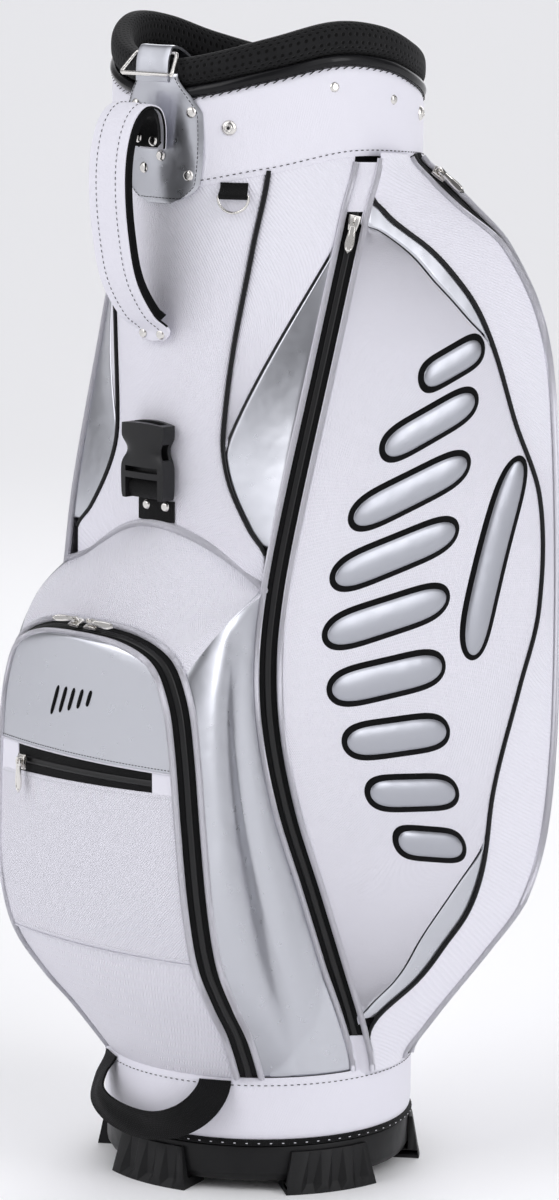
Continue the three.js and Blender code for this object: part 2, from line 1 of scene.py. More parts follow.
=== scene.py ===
import json
from functools import lru_cache
from math import atan2, cos, degrees, exp, hypot, pi, radians, sin, sqrt

import bpy
from mathutils import Matrix, Quaternion, Vector
from mathutils.kdtree import KDTree


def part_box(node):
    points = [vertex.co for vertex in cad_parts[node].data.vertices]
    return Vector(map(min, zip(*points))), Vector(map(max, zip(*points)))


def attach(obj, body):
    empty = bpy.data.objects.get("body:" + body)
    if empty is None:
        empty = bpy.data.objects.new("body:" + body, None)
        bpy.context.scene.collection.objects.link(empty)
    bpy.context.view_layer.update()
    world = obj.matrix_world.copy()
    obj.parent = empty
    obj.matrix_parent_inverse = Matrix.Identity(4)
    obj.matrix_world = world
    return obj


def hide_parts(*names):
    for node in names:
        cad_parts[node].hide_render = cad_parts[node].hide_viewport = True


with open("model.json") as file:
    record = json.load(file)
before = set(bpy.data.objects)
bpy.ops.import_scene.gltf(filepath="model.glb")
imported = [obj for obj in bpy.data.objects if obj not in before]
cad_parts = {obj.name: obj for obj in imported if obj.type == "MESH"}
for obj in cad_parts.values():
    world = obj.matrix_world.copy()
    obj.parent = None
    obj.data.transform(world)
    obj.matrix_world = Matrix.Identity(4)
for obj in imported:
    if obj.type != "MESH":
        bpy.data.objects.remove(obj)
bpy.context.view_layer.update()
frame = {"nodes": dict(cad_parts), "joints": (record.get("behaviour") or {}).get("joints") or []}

# ---- Studio ----
# The bag stands on a pale floor in soft light and is seen from its front right, a little
# above its middle. All the shapes below are drawn in millimetres round the bag's own axis.
mm = 0.001
tube_low, tube_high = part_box("body_tube")
axis_y = (tube_low.y + tube_high.y) / 2 / mm

view_turn = radians(44)
view_distance = 3.826
view_height = 1.0734
aim_height = 0.4493
view_roll = radians(0.573)
eye = Vector((view_distance * sin(view_turn), axis_y * mm - view_distance * cos(view_turn), view_height))
aim = Vector((0, axis_y * mm, aim_height))
bpy.ops.object.camera_add(location=eye)
camera = bpy.context.object
camera.rotation_mode = "QUATERNION"
camera.rotation_quaternion = (aim - eye).to_track_quat("-Z", "Y") @ Quaternion((0, 0, 1), view_roll)
camera.data.lens = 147.1
camera.data.sensor_width = 36
camera.data.shift_x = 0.0137
bpy.context.scene.camera = camera


def softbox(name, turn, height, distance, size, power):
    """A large lamp at an angle from the front (-Y) towards +X, aimed at the bag."""
    place = Vector((distance * sin(radians(turn)), -distance * cos(radians(turn)), height))
    bpy.ops.object.light_add(type="AREA", location=place)
    lamp = bpy.context.object
    lamp.name = name
    lamp.data.shape = "RECTANGLE"
    lamp.data.size, lamp.data.size_y = size
    lamp.data.energy = power
    lamp.rotation_mode = "QUATERNION"
    lamp.rotation_quaternion = (Vector((0, 0, 0.45)) - place).to_track_quat("-Z", "Y")


softbox("key_softbox", -8, 2.3, 2.6, (1.6, 1.8), 15)
softbox("side_softbox", 98, 1.6, 2.8, (0.9, 2.2), 14)
softbox("back_softbox", 215, 2.2, 2.8, (1.6, 1.6), 12)

bpy.ops.mesh.primitive_plane_add(size=120)
floor = bpy.context.object
floor.name = "floor"
floor_finish = bpy.data.materials.new("floor")
floor_finish.use_nodes = True
floor_finish.node_tree.nodes["Principled BSDF"].inputs["Base Color"].default_value = (0.96, 0.96, 0.965, 1)
floor_finish.node_tree.nodes["Principled BSDF"].inputs["Roughness"].default_value = 0.9
floor.data.materials.append(floor_finish)

# The room round the bag is white with softer grey stretches between its bright walls, so
# that nickel and silver have something to show.
world = bpy.data.worlds.new("studio")
world.use_nodes = True
bpy.context.scene.world = world
bpy.context.scene.view_settings.view_transform = "Standard"
room = world.node_tree
bright_turn, walls = radians(-30), 3
dark_wall, bright_wall = 0.14, 1.6


def join(tree, value, socket):
    """Links a socket to another, or sets it to a number or a colour."""
    if isinstance(value, bpy.types.NodeSocket):
        tree.links.new(value, socket)
    else:
        socket.default_value = value


def reckon(tree, operation, first, second=0.0):
    """A math node on two sockets or numbers."""
    made = tree.nodes.new("ShaderNodeMath")
    made.operation = operation
    join(tree, first, made.inputs[0])
    join(tree, second, made.inputs[1])
    return made.outputs[0]


room_way = room.nodes.new("ShaderNodeSeparateXYZ")
room.links.new(room.nodes.new("ShaderNodeTexCoord").outputs["Generated"], room_way.inputs[0])
to_front = reckon(room, "MULTIPLY", room_way.outputs["Y"], -1.0)
round_room = reckon(room, "ARCTAN2", room_way.outputs["X"], to_front)
from_bright = reckon(room, "SUBTRACT", round_room, bright_turn)
wall = reckon(room, "COSINE", reckon(room, "MULTIPLY", from_bright, walls))
level = reckon(room, "MULTIPLY_ADD", wall, 0.5)
level.node.inputs[2].default_value = 0.5
shade = reckon(room, "MULTIPLY_ADD", reckon(room, "POWER", level, 1.1), bright_wall - dark_wall)
shade.node.inputs[2].default_value = dark_wall
room.links.new(shade, room.nodes["Background"].inputs["Strength"])
room.nodes["Background"].inputs["Color"].default_value = (0.97, 0.97, 1.0, 1)

# ---- Base tray and feet ----
# The tray is one moulded dish of hard black plastic that closes the bottom of the bag. Five
# ribbed feet of softer rubber are moulded on round its rim.
plastic_black = (0.005, 0.005, 0.0055)
rubber_black = (0.007, 0.007, 0.0075)
dust = (0.03, 0.03, 0.032)


def finish_of(name, colour, roughness, metallic=0.0, coat=0.0, specular=0.35):
    """A new material, with its tree and its shader."""
    finish = bpy.data.materials.new(name)
    finish.use_nodes = True
    shader = finish.node_tree.nodes["Principled BSDF"]
    shader.inputs["Base Color"].default_value = (*colour, 1)
    shader.inputs["Roughness"].default_value = roughness
    shader.inputs["Metallic"].default_value = metallic
    shader.inputs["Coat Weight"].default_value = coat
    shader.inputs["Specular IOR Level"].default_value = specular
    return finish, finish.node_tree, shader


def pattern_group(name, takes, gives):
    """An empty node group with named inputs, each with a value, and named outputs."""
    group = bpy.data.node_groups.new(name, "ShaderNodeTree")
    for label, value in takes.items():
        if isinstance(value, float):
            kind = "NodeSocketFloat"
        else:
            kind = "NodeSocketColor" if value else "NodeSocketVector"
        socket = group.interface.new_socket(label, in_out="INPUT", socket_type=kind)
        if value:
            socket.default_value = value
    for label, kind in gives.items():
        group.interface.new_socket(label, in_out="OUTPUT", socket_type=kind)
    return group, group.nodes.new("NodeGroupInput").outputs, group.nodes.new("NodeGroupOutput").inputs


def blended(tree, share, first, second):
    """A colour between two colours."""
    made = tree.nodes.new("ShaderNodeMix")
    made.data_type = "RGBA"
    join(tree, share, made.inputs["Factor"])
    join(tree, first, made.inputs[6])
    join(tree, second, made.inputs[7])
    return made.outputs[2]


def noise(tree, coordinates, size, detail=2.0):
    """Noise with lumps of a size in metres."""
    made = tree.nodes.new("ShaderNodeTexNoise")
    made.inputs["Detail"].default_value = detail
    if isinstance(size, bpy.types.NodeSocket):
        tree.links.new(reckon(tree, "DIVIDE", 1.0, size), made.inputs["Scale"])
    else:
        made.inputs["Scale"].default_value = 1 / size
    tree.links.new(coordinates, made.inputs["Vector"])
    return made.outputs["Fac"]


def placed_group(tree, group, **values):
    """One use of a pattern group, its inputs set or linked by name."""
    made = tree.nodes.new("ShaderNodeGroup")
    made.node_tree = group
    for label, value in values.items():
        join(tree, value, made.inputs[label.replace("_", " ")])
    return made.outputs


def coordinates_of(tree, kind="Object"):
    """Places for a pattern: the piece's own, or lengths along it in metres with UV."""
    return tree.nodes.new("ShaderNodeTexCoord").outputs[kind]


def raise_by(tree, shader, height, depth, under=None):
    """Feeds a height to the shader's normal; depth is in millimetres."""
    bump = tree.nodes.new("ShaderNodeBump")
    bump.inputs["Strength"].default_value = 1
    bump.inputs["Distance"].default_value = depth * mm
    join(tree, height, bump.inputs["Height"])
    if under:
        tree.links.new(under, bump.inputs["Normal"])
    tree.links.new(bump.outputs[0], shader.inputs["Normal"])
    return bump.outputs[0]


# Pebbled grain, as on moulded plastic and on leathercloth.
grain, take, give = pattern_group(
    "grain", {"Coordinates": None, "Size": 0.001, "Unevenness": 0.4}, {"Height": "NodeSocketFloat"})
cells = grain.nodes.new("ShaderNodeTexVoronoi")
cells.feature = "SMOOTH_F1"
grain.links.new(take["Coordinates"], cells.inputs["Vector"])
grain.links.new(reckon(grain, "DIVIDE", 1.0, take["Size"]), cells.inputs["Scale"])
lumps = noise(grain, take["Coordinates"], reckon(grain, "MULTIPLY", take["Size"], 4.0))
uneven = reckon(grain, "MULTIPLY", lumps, take["Unevenness"])
grain.links.new(reckon(grain, "ADD", cells.outputs["Distance"], uneven), give["Height"])

# Light handling: the colour and the gloss change a little from place to place.
handling, take, give = pattern_group(
    "handling", {"Coordinates": None, "Colour": (1, 1, 1, 1), "Dulled": (0.5, 0.5, 0.5, 1),
                 "Roughness": 0.5, "Amount": 0.3},
    {"Colour": "NodeSocketColor", "Roughness": "NodeSocketFloat"})
broad = noise(handling, take["Coordinates"], 0.11, 3.0)
fine = noise(handling, take["Coordinates"], 0.009, 4.0)
marks = reckon(handling, "MULTIPLY", reckon(handling, "POWER", broad, 2.0), fine)
marked = reckon(handling, "MULTIPLY", marks, take["Amount"])
handling.links.new(blended(handling, marked, take["Colour"], take["Dulled"]), give["Colour"])
shift = reckon(handling, "MULTIPLY", reckon(handling, "SUBTRACT", fine, 0.5), take["Amount"])
handling.links.new(reckon(handling, "ADD", take["Roughness"], reckon(handling, "MULTIPLY", shift, 0.6)),
                   give["Roughness"])


def handled(tree, shader, colour, dulled, roughness, amount):
    """Gives a shader the marks of light handling; what it returns is the marked colour."""
    worn = placed_group(tree, handling, Coordinates=coordinates_of(tree), Colour=(*colour, 1),
                        Dulled=(*dulled, 1), Roughness=roughness, Amount=amount)
    join(tree, worn["Colour"], shader.inputs["Base Color"])
    join(tree, worn["Roughness"], shader.inputs["Roughness"])
    return worn["Colour"]


def grained(tree, shader, size, unevenness, depth):
    """Raises a pebbled grain; its size and depth are in millimetres."""
    pebbles = placed_group(tree, grain, Coordinates=coordinates_of(tree), Size=size * mm,
                           Unevenness=unevenness)
    raise_by(tree, shader, pebbles["Height"], depth)


def moulded(name, colour, roughness, grain_size, grain_depth):
    """Moulded plastic or rubber with a fine grain, a little dusty where it is touched."""
    finish, tree, shader = finish_of(name, colour, roughness, specular=0.25)
    handled(tree, shader, colour, dust, roughness, 0.35)
    grained(tree, shader, grain_size, 0.5, grain_depth)
    return finish


def fit(piece, finish, slot, *stands_for, body="bag"):
    """Gives a finished piece its material, the nodes it stands for and its body; the slot is not used."""
    piece.data.materials.clear()
    piece.data.materials.append(finish)
    if stands_for:
        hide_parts(*stands_for)
    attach(piece, body)


def keep(node, finish, edge=0.0, rounding=0):
    """A node whose shape is right as it is: welded, its edges broken, and given its finish."""
    piece = frame["nodes"][node]
    piece.data.materials.clear()
    piece.data.materials.append(finish)
    piece.data.polygons.foreach_set("use_smooth", [True] * len(piece.data.polygons))
    welded = piece.modifiers.new("welded", "WELD")
    welded.merge_threshold = 0.00002
    if edge:
        broken = piece.modifiers.new("broken_edges", "BEVEL")
        broken.width = edge * mm
        broken.segments = 3
        broken.limit_method = "ANGLE"
        broken.angle_limit = radians(28)
        broken.harden_normals = True
    if rounding:
        rounded = piece.modifiers.new("rounded", "SUBSURF")
        rounded.levels = rounded.render_levels = rounding


tray_plastic = moulded("tray_plastic", plastic_black, 0.42, 0.9, 0.05)
foot_rubber = moulded("foot_rubber", rubber_black, 0.52, 1.1, 0.08)
keep("base_tray", tray_plastic, edge=1.2)
for number in range(1, 6):
    keep(f"foot_{number}", foot_rubber, edge=1.1)


# ---- Binding between the tray and the bottom cuff ----
# A folded strip of black webbing covers the joint between the cuff and the tray. It is sewn
# right round through the tray's rim with one row of white thread.
def polar(turn, radius, z):
    """A point at an angle in degrees from the front (-Y) towards +X, round the bag's axis."""
    return Vector((radius * sin(radians(turn)), -radius * cos(radians(turn)), z))


def on_bag(point):
    return Vector((point.x, point.y + axis_y, point.z)) * mm


def away(place):
    """The level way out from the bag's axis at a place in metres."""
    return Vector((place.x, place.y - axis_y * mm, 0)).normalized()


def only(piece):
    """Selects one piece and makes it the active one."""
    bpy.ops.object.select_all(action="DESELECT")
    piece.select_set(True)
    bpy.context.view_layer.objects.active = piece


def apply_new(kind, **settings):
    """Adds a modifier to the active piece and applies it."""
    bpy.ops.object.modifier_add(type=kind)
    modifier = bpy.context.object.modifiers[-1]
    for key, value in settings.items():
        setattr(modifier, key, value)
    bpy.ops.object.modifier_apply(modifier=modifier.name)


def grid(name, across, along, surface, spaced=False):
    """A grid laid on surface(u, v), with a UV map that gives its lengths in metres."""
    bpy.ops.object.select_all(action="DESELECT")
    bpy.ops.mesh.primitive_grid_add(x_subdivisions=across, y_subdivisions=along, size=2)
    piece = bpy.context.object
    piece.name = piece.data.name = name

    def share(c):
        return (1 - cos(pi * (c + 1) / 2)) / 2 if spaced else (c + 1) / 2

    for vertex in piece.data.vertices:
        vertex.co = on_bag(surface(share(vertex.co.x), share(vertex.co.y)))
    steps = [i / 16 for i in range(17)]
    rows = [surface(s, 0.5) for s in steps], [surface(0.5, s) for s in steps]
    width, height = (sum((b - a).length for a, b in zip(row, row[1:])) * mm for row in rows)
    for corner in piece.data.uv_layers.active.data:
        corner.uv = (share(corner.uv.x * 2 - 1) * width, share(corner.uv.y * 2 - 1) * height)
    return piece


def turned_out(piece, facing=None):
    """Turns an open sheet's faces to a given way, or away from the bag's axis."""
    total = sum(f.area * f.normal.dot(facing or away(f.center)) for f in piece.data.polygons)
    if total < 0:
        bpy.ops.object.mode_set(mode="EDIT")
        bpy.ops.mesh.select_all(action="SELECT")
        bpy.ops.mesh.flip_normals()
        bpy.ops.object.mode_set(mode="OBJECT")


def sheet(name, across, along, surface, wall, tuck=None, facing=None, wrapped=False, spaced=False):
    """A sheet with its outside on surface(u, v); tuck turns its edges in by (width, depth)."""
    piece = grid(name, across, along, surface, spaced)
    if wrapped:
        bpy.ops.object.mode_set(mode="EDIT")
        bpy.ops.mesh.select_all(action="SELECT")
        bpy.ops.mesh.remove_doubles(threshold=0.00002)
        bpy.ops.object.mode_set(mode="OBJECT")
    turned_out(piece, facing)
    if tuck:
        turn_in(piece, *tuck)
    apply_new("SOLIDIFY", thickness=wall * mm, offset=-1)
    bpy.ops.object.shade_smooth_by_angle(angle=radians(48))
    return piece


def turn_in(piece, width, depth):
    """Bends a sheet's border inwards, as where it is folded into its seam."""
    mesh = piece.data
    uses = {}
    for polygon in mesh.polygons:
        for key in polygon.edge_keys:
            uses[key] = uses.get(key, 0) + 1
    rim = sorted({v for key, count in uses.items() if count == 1 for v in key})
    rim_tree = KDTree(len(rim))
    for number, v in enumerate(rim):
        rim_tree.insert(mesh.vertices[v].co, number)
    rim_tree.balance()
    moves = []
    for vertex in mesh.vertices:
        distance = rim_tree.find(vertex.co)[2] / mm
        if distance < width:
            fall = 1 - sqrt(1 - (1 - distance / width) ** 2)
            moves.append((vertex, vertex.normal * depth * mm * fall))
    for vertex, move in moves:
        vertex.co -= move


def ring(name, around, section, surface):
    """A closed ring: surface(u, v) has u once round the ring and v once round its section."""
    piece = grid(name, around, section, lambda u, v: surface(u % 1, v % 1))
    bpy.ops.object.mode_set(mode="EDIT")
    bpy.ops.mesh.select_all(action="SELECT")
    bpy.ops.mesh.remove_doubles(threshold=0.00001)
    bpy.ops.mesh.normals_make_consistent(inside=False)
    bpy.ops.object.mode_set(mode="OBJECT")
    bpy.ops.object.shade_smooth_by_angle(angle=radians(60))
    return piece


def cords(name, paths, radius, roundness=2, closed=False):
    """Round cords along paths of places, made as one mesh; used for piping and for stitches."""
    line = bpy.data.curves.new(name, "CURVE")
    line.dimensions = "3D"
    line.bevel_depth = radius * mm
    line.bevel_resolution = roundness
    line.use_fill_caps = not closed
    for path in paths:
        spline = line.splines.new("POLY")
        spline.points.add(len(path) - 1)
        for point, place in zip(spline.points, path):
            point.co = (*place, 1)
        spline.use_cyclic_u = closed
    piece = bpy.data.objects.new(name, line)
    bpy.context.collection.objects.link(piece)
    only(piece)
    bpy.ops.object.convert(target="MESH")
    bpy.ops.object.shade_smooth_by_angle(angle=radians(60))
    return bpy.context.object


def stitched(name, paths, thread, pitch, length, thick, out=away):
    """Lock stitches along paths of places on a surface, as short threads that bow outwards."""
    bow = 0.25 * mm
    threads = []
    for path in paths:
        spent, due = 0.0, 0.0
        for a, b in zip(path, path[1:]):
            reach = (b - a).length / mm
            while due < spent + reach:
                start = a.lerp(b, (due - spent) / reach)
                ahead = (b - a).normalized() * length * mm
                threads.append([start, start + ahead / 2 + out(start) * bow, start + ahead])
                due += pitch
            spent += reach
    piece = cords(name, threads, thick, roundness=0)
    fit(piece, thread, "black_webbing" if thread is black_thread else "white_leather")


def woven(name, colour, rib, roughness, depth):
    """Webbing and zip tape: ribs across, with the yarns stepping over each other, and painted shade in the
    grooves between the ribs.
    """
    finish, tree, shader = finish_of(name, colour, roughness, specular=0.12)
    weave = placed_group(tree, yarns, Coordinates=coordinates_of(tree, "UV"), Rib=rib * mm)
    # Painted shade: the grooves between the ribs are painted darker than the ribs, by the weave's height.
    painted_shade_between_ribs = (*(c * 0.55 for c in colour), 1)
    touched = handled(tree, shader, colour, dust, roughness, 0.3)
    join(tree, blended(tree, weave["Height"], painted_shade_between_ribs, touched), shader.inputs["Base Color"])
    raise_by(tree, shader, weave["Height"], depth)
    shader.inputs["Sheen Weight"].default_value = 0.05
    return finish


yarns, take, give = pattern_group(
    "yarns", {"Coordinates": None, "Rib": 0.001}, {"Height": "NodeSocketFloat"})
split = yarns.nodes.new("ShaderNodeSeparateXYZ")
yarns.links.new(take["Coordinates"], split.inputs[0])
over = reckon(yarns, "DIVIDE", split.outputs["X"], take["Rib"])
along_yarn = reckon(yarns, "DIVIDE", split.outputs["Y"], take["Rib"])
step = reckon(yarns, "MULTIPLY", reckon(yarns, "FLOOR", over), 0.5)
rib_wave = reckon(yarns, "ABSOLUTE", reckon(yarns, "SINE", reckon(yarns, "MULTIPLY", over, pi)))
yarn_turn = reckon(yarns, "MULTIPLY", reckon(yarns, "ADD", along_yarn, step), pi)
yarn_wave = reckon(yarns, "ABSOLUTE", reckon(yarns, "SINE", yarn_turn))
yarns.links.new(reckon(yarns, "MULTIPLY", rib_wave, yarn_wave), give["Height"])

black_webbing = woven("black_webbing", (0.006, 0.006, 0.0065), 1.5, 0.7, 0.3)
black_thread = finish_of("black_thread", (0.02, 0.02, 0.022), 0.6)[0]
white_thread = finish_of("white_thread", (0.72, 0.72, 0.76), 0.6)[0]
binding_low, binding_high = (place.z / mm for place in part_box("base_binding"))
binding_middle = (binding_low + binding_high) / 2
binding_half = (binding_high - binding_low) / 2
binding_radius = 120.6
binding = ring("sewn_binding", 160, 12, lambda u, v: polar(
    u * 360, binding_radius + 2.9 * cos(2 * pi * v), binding_middle + binding_half * sin(2 * pi * v)))
fit(binding, black_webbing, "black_webbing", "base_binding")
around = [i * 2.5 for i in range(145)]
stitched("binding_stitches", [[on_bag(polar(t, binding_radius + 2.9, binding_middle)) for t in around]],
         white_thread, pitch=9.5, length=1.6, thick=0.35)

# ---- Leathercloth ----
# White polyurethane leathercloth on foam covers the bag. It is embossed by the roll: a fine
# twill on most panels, wavy ribs on some. The silver one is the same cloth with a metal film.
white = (0.80, 0.79, 0.86)
shaded_white = (0.62, 0.61, 0.68)
silver = (0.54, 0.55, 0.59)

emboss, take, give = pattern_group(
    "emboss",
    {"Coordinates": None, "Pitch": 0.002, "Slant": 1.0, "Wave": 0.0, "Wavelength": 0.02, "Broken": 0.5},
    {"Height": "NodeSocketFloat"})
split = emboss.nodes.new("ShaderNodeSeparateXYZ")
emboss.links.new(take["Coordinates"], split.inputs[0])
swing = reckon(emboss, "SINE", reckon(emboss, "MULTIPLY", reckon(
    emboss, "DIVIDE", split.outputs["Y"], take["Wavelength"]), 2 * pi))
lean = reckon(emboss, "MULTIPLY", split.outputs["Y"], take["Slant"])
leant = reckon(emboss, "ADD", split.outputs["X"], lean)
line_place = reckon(emboss, "ADD", leant, reckon(emboss, "MULTIPLY", swing, take["Wave"]))
line_turn = reckon(emboss, "MULTIPLY", reckon(emboss, "DIVIDE", line_place, take["Pitch"]), 2 * pi)
lines = reckon(emboss, "SINE", line_turn)
cross_turn = reckon(emboss, "MULTIPLY", reckon(emboss, "DIVIDE", reckon(
    emboss, "SUBTRACT", split.outputs["Y"], split.outputs["X"]), take["Pitch"]), 2 * pi)
crossed = reckon(emboss, "MULTIPLY", reckon(emboss, "SINE", cross_turn), take["Broken"])
emboss.links.new(reckon(emboss, "ADD", lines, crossed), give["Height"])


def leathercloth(name, colour, pitch, slant, broken, depth, wave=0.0, wavelength=20.0, metallic=0.0,
                 roughness=0.42, dulled=shaded_white, creased=0.25):
    """Leathercloth with soft creases; a depth presses its pattern in, all in millimetres."""
    finish, tree, shader = finish_of(name, colour, roughness, metallic)
    handled(tree, shader, colour, dulled, roughness, 0.25)
    soft = raise_by(tree, shader, noise(tree, coordinates_of(tree), 0.03), creased)
    if depth:
        pressed = placed_group(tree, emboss, Coordinates=coordinates_of(tree, "UV"), Pitch=pitch * mm,
                               Slant=slant, Wave=wave * mm, Wavelength=wavelength * mm, Broken=broken)
        raise_by(tree, shader, pressed["Height"], depth, under=soft)
    return finish


twill_white = leathercloth("twill_white", white, 1.9, 0.55, 0.35, 0.14)
checked_white = leathercloth("checked_white", white, 2.4, 1.0, 1.0, 0.17)
rippled_white = leathercloth("rippled_white", white, 2.7, 0.0, 0.0, 0.3, wave=0.9, wavelength=9)
plain_white = leathercloth("plain_white", white, 1.3, 0.3, 0.6, 0.04)
silver_cloth = leathercloth("silver_cloth", silver, 0, 0, 0, 0, metallic=0.9, roughness=0.3,
                            dulled=(0.5, 0.5, 0.53), creased=0.9)

# ---- Outline of the bag ----
# The pattern's lines, each through a few marks: the edges of the long zips and pockets are
# worked out from them at any height, on the right-hand side; the left is their mirror image.
cover_radius = 119.2
cuff_top = 91.4


def through(marks):
    """A smooth curve through (position, value, value...) marks, flat at its ends."""
    def slope(i, k):
        if i in (0, len(marks) - 1):
            return 0
        before, after = marks[i - 1], marks[i + 1]
        return (after[k] - before[k]) / (after[0] - before[0])

    def value(t):
        if t <= marks[0][0]:
            return marks[0][1:]
        if t >= marks[-1][0]:
            return marks[-1][1:]
        i = next(n for n, mark in enumerate(marks) if mark[0] > t) - 1
        a, b = marks[i], marks[i + 1]
        span = b[0] - a[0]
        s = (t - a[0]) / span
        ease = s * s * (3 - 2 * s)
        start, end = s * (1 - s) ** 2 * span, s * s * (s - 1) * span
        return tuple(a[k] + ease * (b[k] - a[k]) + start * slope(i, k) + end * slope(i + 1, k)
                     for k in range(1, len(a)))

    return lru_cache(maxsize=None)(value)


def round_mouth(marks):
    """A height round the mouth by (angle from the front, height) marks, alike on both sides."""
    curve = through(marks)
    return lambda turn: curve(abs((turn + 180) % 360 - 180))[0]


mouth_bottom = round_mouth([(0, 780), (45, 795), (75, 807), (110, 803), (145, 796), (180, 795)])
mouth_top = round_mouth([
    (0, 847), (20, 852), (45, 864), (70, 875), (92, 871), (115, 857), (140, 844), (180, 838)])
collar_height = round_mouth([(0, 22), (35, 23), (70, 24.5), (120, 24), (180, 26)])

front_edge = through([
    (505, 104, -104), (525, 87, -105), (554, 68, -106), (578, 59, -105.3),
    (599, 57.5, -104.6), (660, 63.5, -101), (737, 75, -93), (810, 84, -84.6)])
front_zip = through([
    (92, 120.5, -9), (125, 119, -17), (176, 117.5, -36.5), (245, 115.8, -64), (311, 114.5, -91),
    (376, 113.8, -108), (430, 113.8, -111.5), (482, 114.2, -104.8), (542, 117.3, -92.5),
    (647, 120.6, -63.8), (767, 124, -31), (810, 124.5, -18)])
pocket_reach = through([
    (91, 121, 6), (116, 136, 5), (177, 185, 4), (214, 211, 3.5), (278, 227, 2.5), (400, 232.5, 2),
    (580, 228, 2), (671, 216.5, 2), (735, 187, 4), (764, 160.5, 12), (785, 139.3, 13), (806, 119, 9)])
piping_share = through([
    (114, 0), (130, 0.11), (159, 0.5), (193, 0.645), (228, 0.717), (308, 0.76), (388, 0.858), (450, 0.93),
    (540, 0.93), (603, 0.818), (677, 0.7), (706, 0.62), (736, 0.46), (767, 0.14), (778, 0)])
zip_width = 18
back_turn = 156


@lru_cache(maxsize=None)
def outline(z):
    """Where the panels meet at a height, from the front to the back."""
    reach, fall = pocket_reach(z)
    level = Vector((0, 0, z))
    cross = 49 - 23 * (reach - 119) / 113
    turn = sqrt(max(zip_width ** 2 - fall ** 2, 9))
    middle = Vector((*front_zip(z), z))
    half = polar(135, zip_width / 2, 0)
    return {
        "front": Vector((*front_edge(z), z)),
        "zip_front": middle - half,
        "zip_back": middle + half,
        "corner": level + polar(134, reach - fall, 0) + polar(44, cross, 0),
        "corner_back": level + polar(134, reach, 0) + polar(44, cross - turn, 0),
        "back": polar(back_turn, cover_radius, z),
    }


def clear_of_tube(point, radius=cover_radius):
    """Moves a point straight out to the covers where it would be inside the board tube."""
    grow = max(radius / hypot(point.x, point.y), 1)
    return Vector((point.x * grow, point.y * grow, point.z))


def on_side(side, point):
    return Vector((side * point.x, point.y, point.z))


def turn_of(point):
    return degrees(atan2(point.x, -point.y))


def whole(z):
    return 1.0


def none(z):
    return 0.0


def width_at(z, first, last):
    return max((outline(z)[last] - outline(z)[first]).length, 1)


def lifted(z, first, last, share, lift, bulge=0.0):
    """A point between two lines of the outline at a height, raised off the panel's flat."""
    a, b = outline(z)[first], outline(z)[last]
    out = (b - a).cross(Vector((0, 0, 1))).normalized()
    rise = bulge * sin(pi * share) * min(1, (b - a).length / 60)
    return clear_of_tube(a.lerp(b, share) + out * (rise + lift), cover_radius + lift)


def cover(side, first, last, bottom, top, bulge=0.0, low=none, high=whole, trim=1.2, lift=0.0):
    """The surface of a panel between two lines of the outline, at shares low to high of its width."""
    def at(u, z):
        margin = trim / width_at(z, first, last)
        end = high(z) - margin
        share = min(low(z) + margin, end - 0.01)
        return lifted(z, first, last, share + (end - share) * u, lift, bulge)

    def surface(u, v):
        start = bottom(u) if callable(bottom) else bottom
        end = top(turn_of(at(u, 790))) if callable(top) else top
        return on_side(side, at(u, start + (end - start) * v))

    return surface


def under_mouth(turn):
    return mouth_bottom(turn) + 3


# ---- Bottom cuff ----
# A straight band of leathercloth, folded under at its lower edge and sewn to the panels above
# with black thread, a few millimetres below its upper edge.
cuff_low = binding_high - 1
cuff_radius = 122.4


def cuff_section(v):
    """Radius and height of the cuff from its lower to its upper edge."""
    edge = 1 - abs(2 * v - 1) ** 8
    return cuff_radius - 2.2 + 2.2 * edge, cuff_low + (cuff_top + 0.6 - cuff_low) * v


def cuff_surface(u, v):
    radius, z = cuff_section(v)
    return polar(u * 360, radius, z)


bottom_cuff = sheet("sewn_bottom_cuff", 144, 24, cuff_surface, 2.4, wrapped=True)
fit(bottom_cuff, plain_white, "white_leather", "bottom_cuff")
stitched("bottom_cuff_stitches", [[on_bag(polar(t, cuff_radius + 0.1, cuff_top - 5)) for t in around]],
         black_thread, pitch=5.2, length=2.2, thick=0.34)

# ---- Board tube, divider and curtains ----
# The tube is rolled board with its lap inside; a moulded divider covered in brushed cloth sits
# in its mouth, and curtains hang from it to keep the clubs apart.
board_grey = (0.16, 0.16, 0.165)
tube_board, tree, shader = finish_of("tube_board", board_grey, 0.75)
grained(tree, shader, 1.6, 1.0, 0.06)
handled(tree, shader, board_grey, (0.3, 0.3, 0.3), 0.75, 0.6)
keep("body_tube", tube_board)


def brushed(name, colour):
    """Short-napped cloth and felt: matt, with a soft sheen at its edges."""
    finish, tree, shader = finish_of(name, colour, 0.95, specular=0.1)
    grained(tree, shader, 0.8, 1.2, 0.25)
    pile = noise(tree, coordinates_of(tree), 0.012, 5.0)
    dark, light = ((*(c * share for c in colour), 1) for share in (0.6, 1.5))
    join(tree, blended(tree, pile, dark, light), shader.inputs["Base Color"])
    shader.inputs["Sheen Weight"].default_value = 0.04
    return finish


divider_cloth = brushed("divider_cloth", (0.009, 0.009, 0.01))
keep("divider_frame", divider_cloth, edge=2.2)
keep("divider_curtains", divider_cloth)


def throat(u, v):
    radius = 112.6 - 3.5 * v
    top = mouth_top(u * 360) + 12
    return polar(u * 360, radius, 821 + (top - 821) * v)


lining = sheet("throat_lining", 96, 12, throat, 1.2, wrapped=True)
fit(lining, divider_cloth, "divider_cloth")

# ---- Top cuff ----
# The band round the mouth: its lower edge is sewn with black thread, its upper edge is
# overlocked in black under the glossy piping.
top_cuff_radius = 121.2


def top_cuff_point(turn, share):
    low, high = mouth_bottom(turn), mouth_top(turn)
    radius = top_cuff_radius - 1.6 * abs(2 * share - 1) ** 10
    return polar(turn, radius, low + (high - low) * share)


top_cuff = sheet("sewn_top_cuff", 180, 24, lambda u, v: top_cuff_point(u * 360, v), 2.6, wrapped=True)
fit(top_cuff, plain_white, "white_leather", "top_cuff")


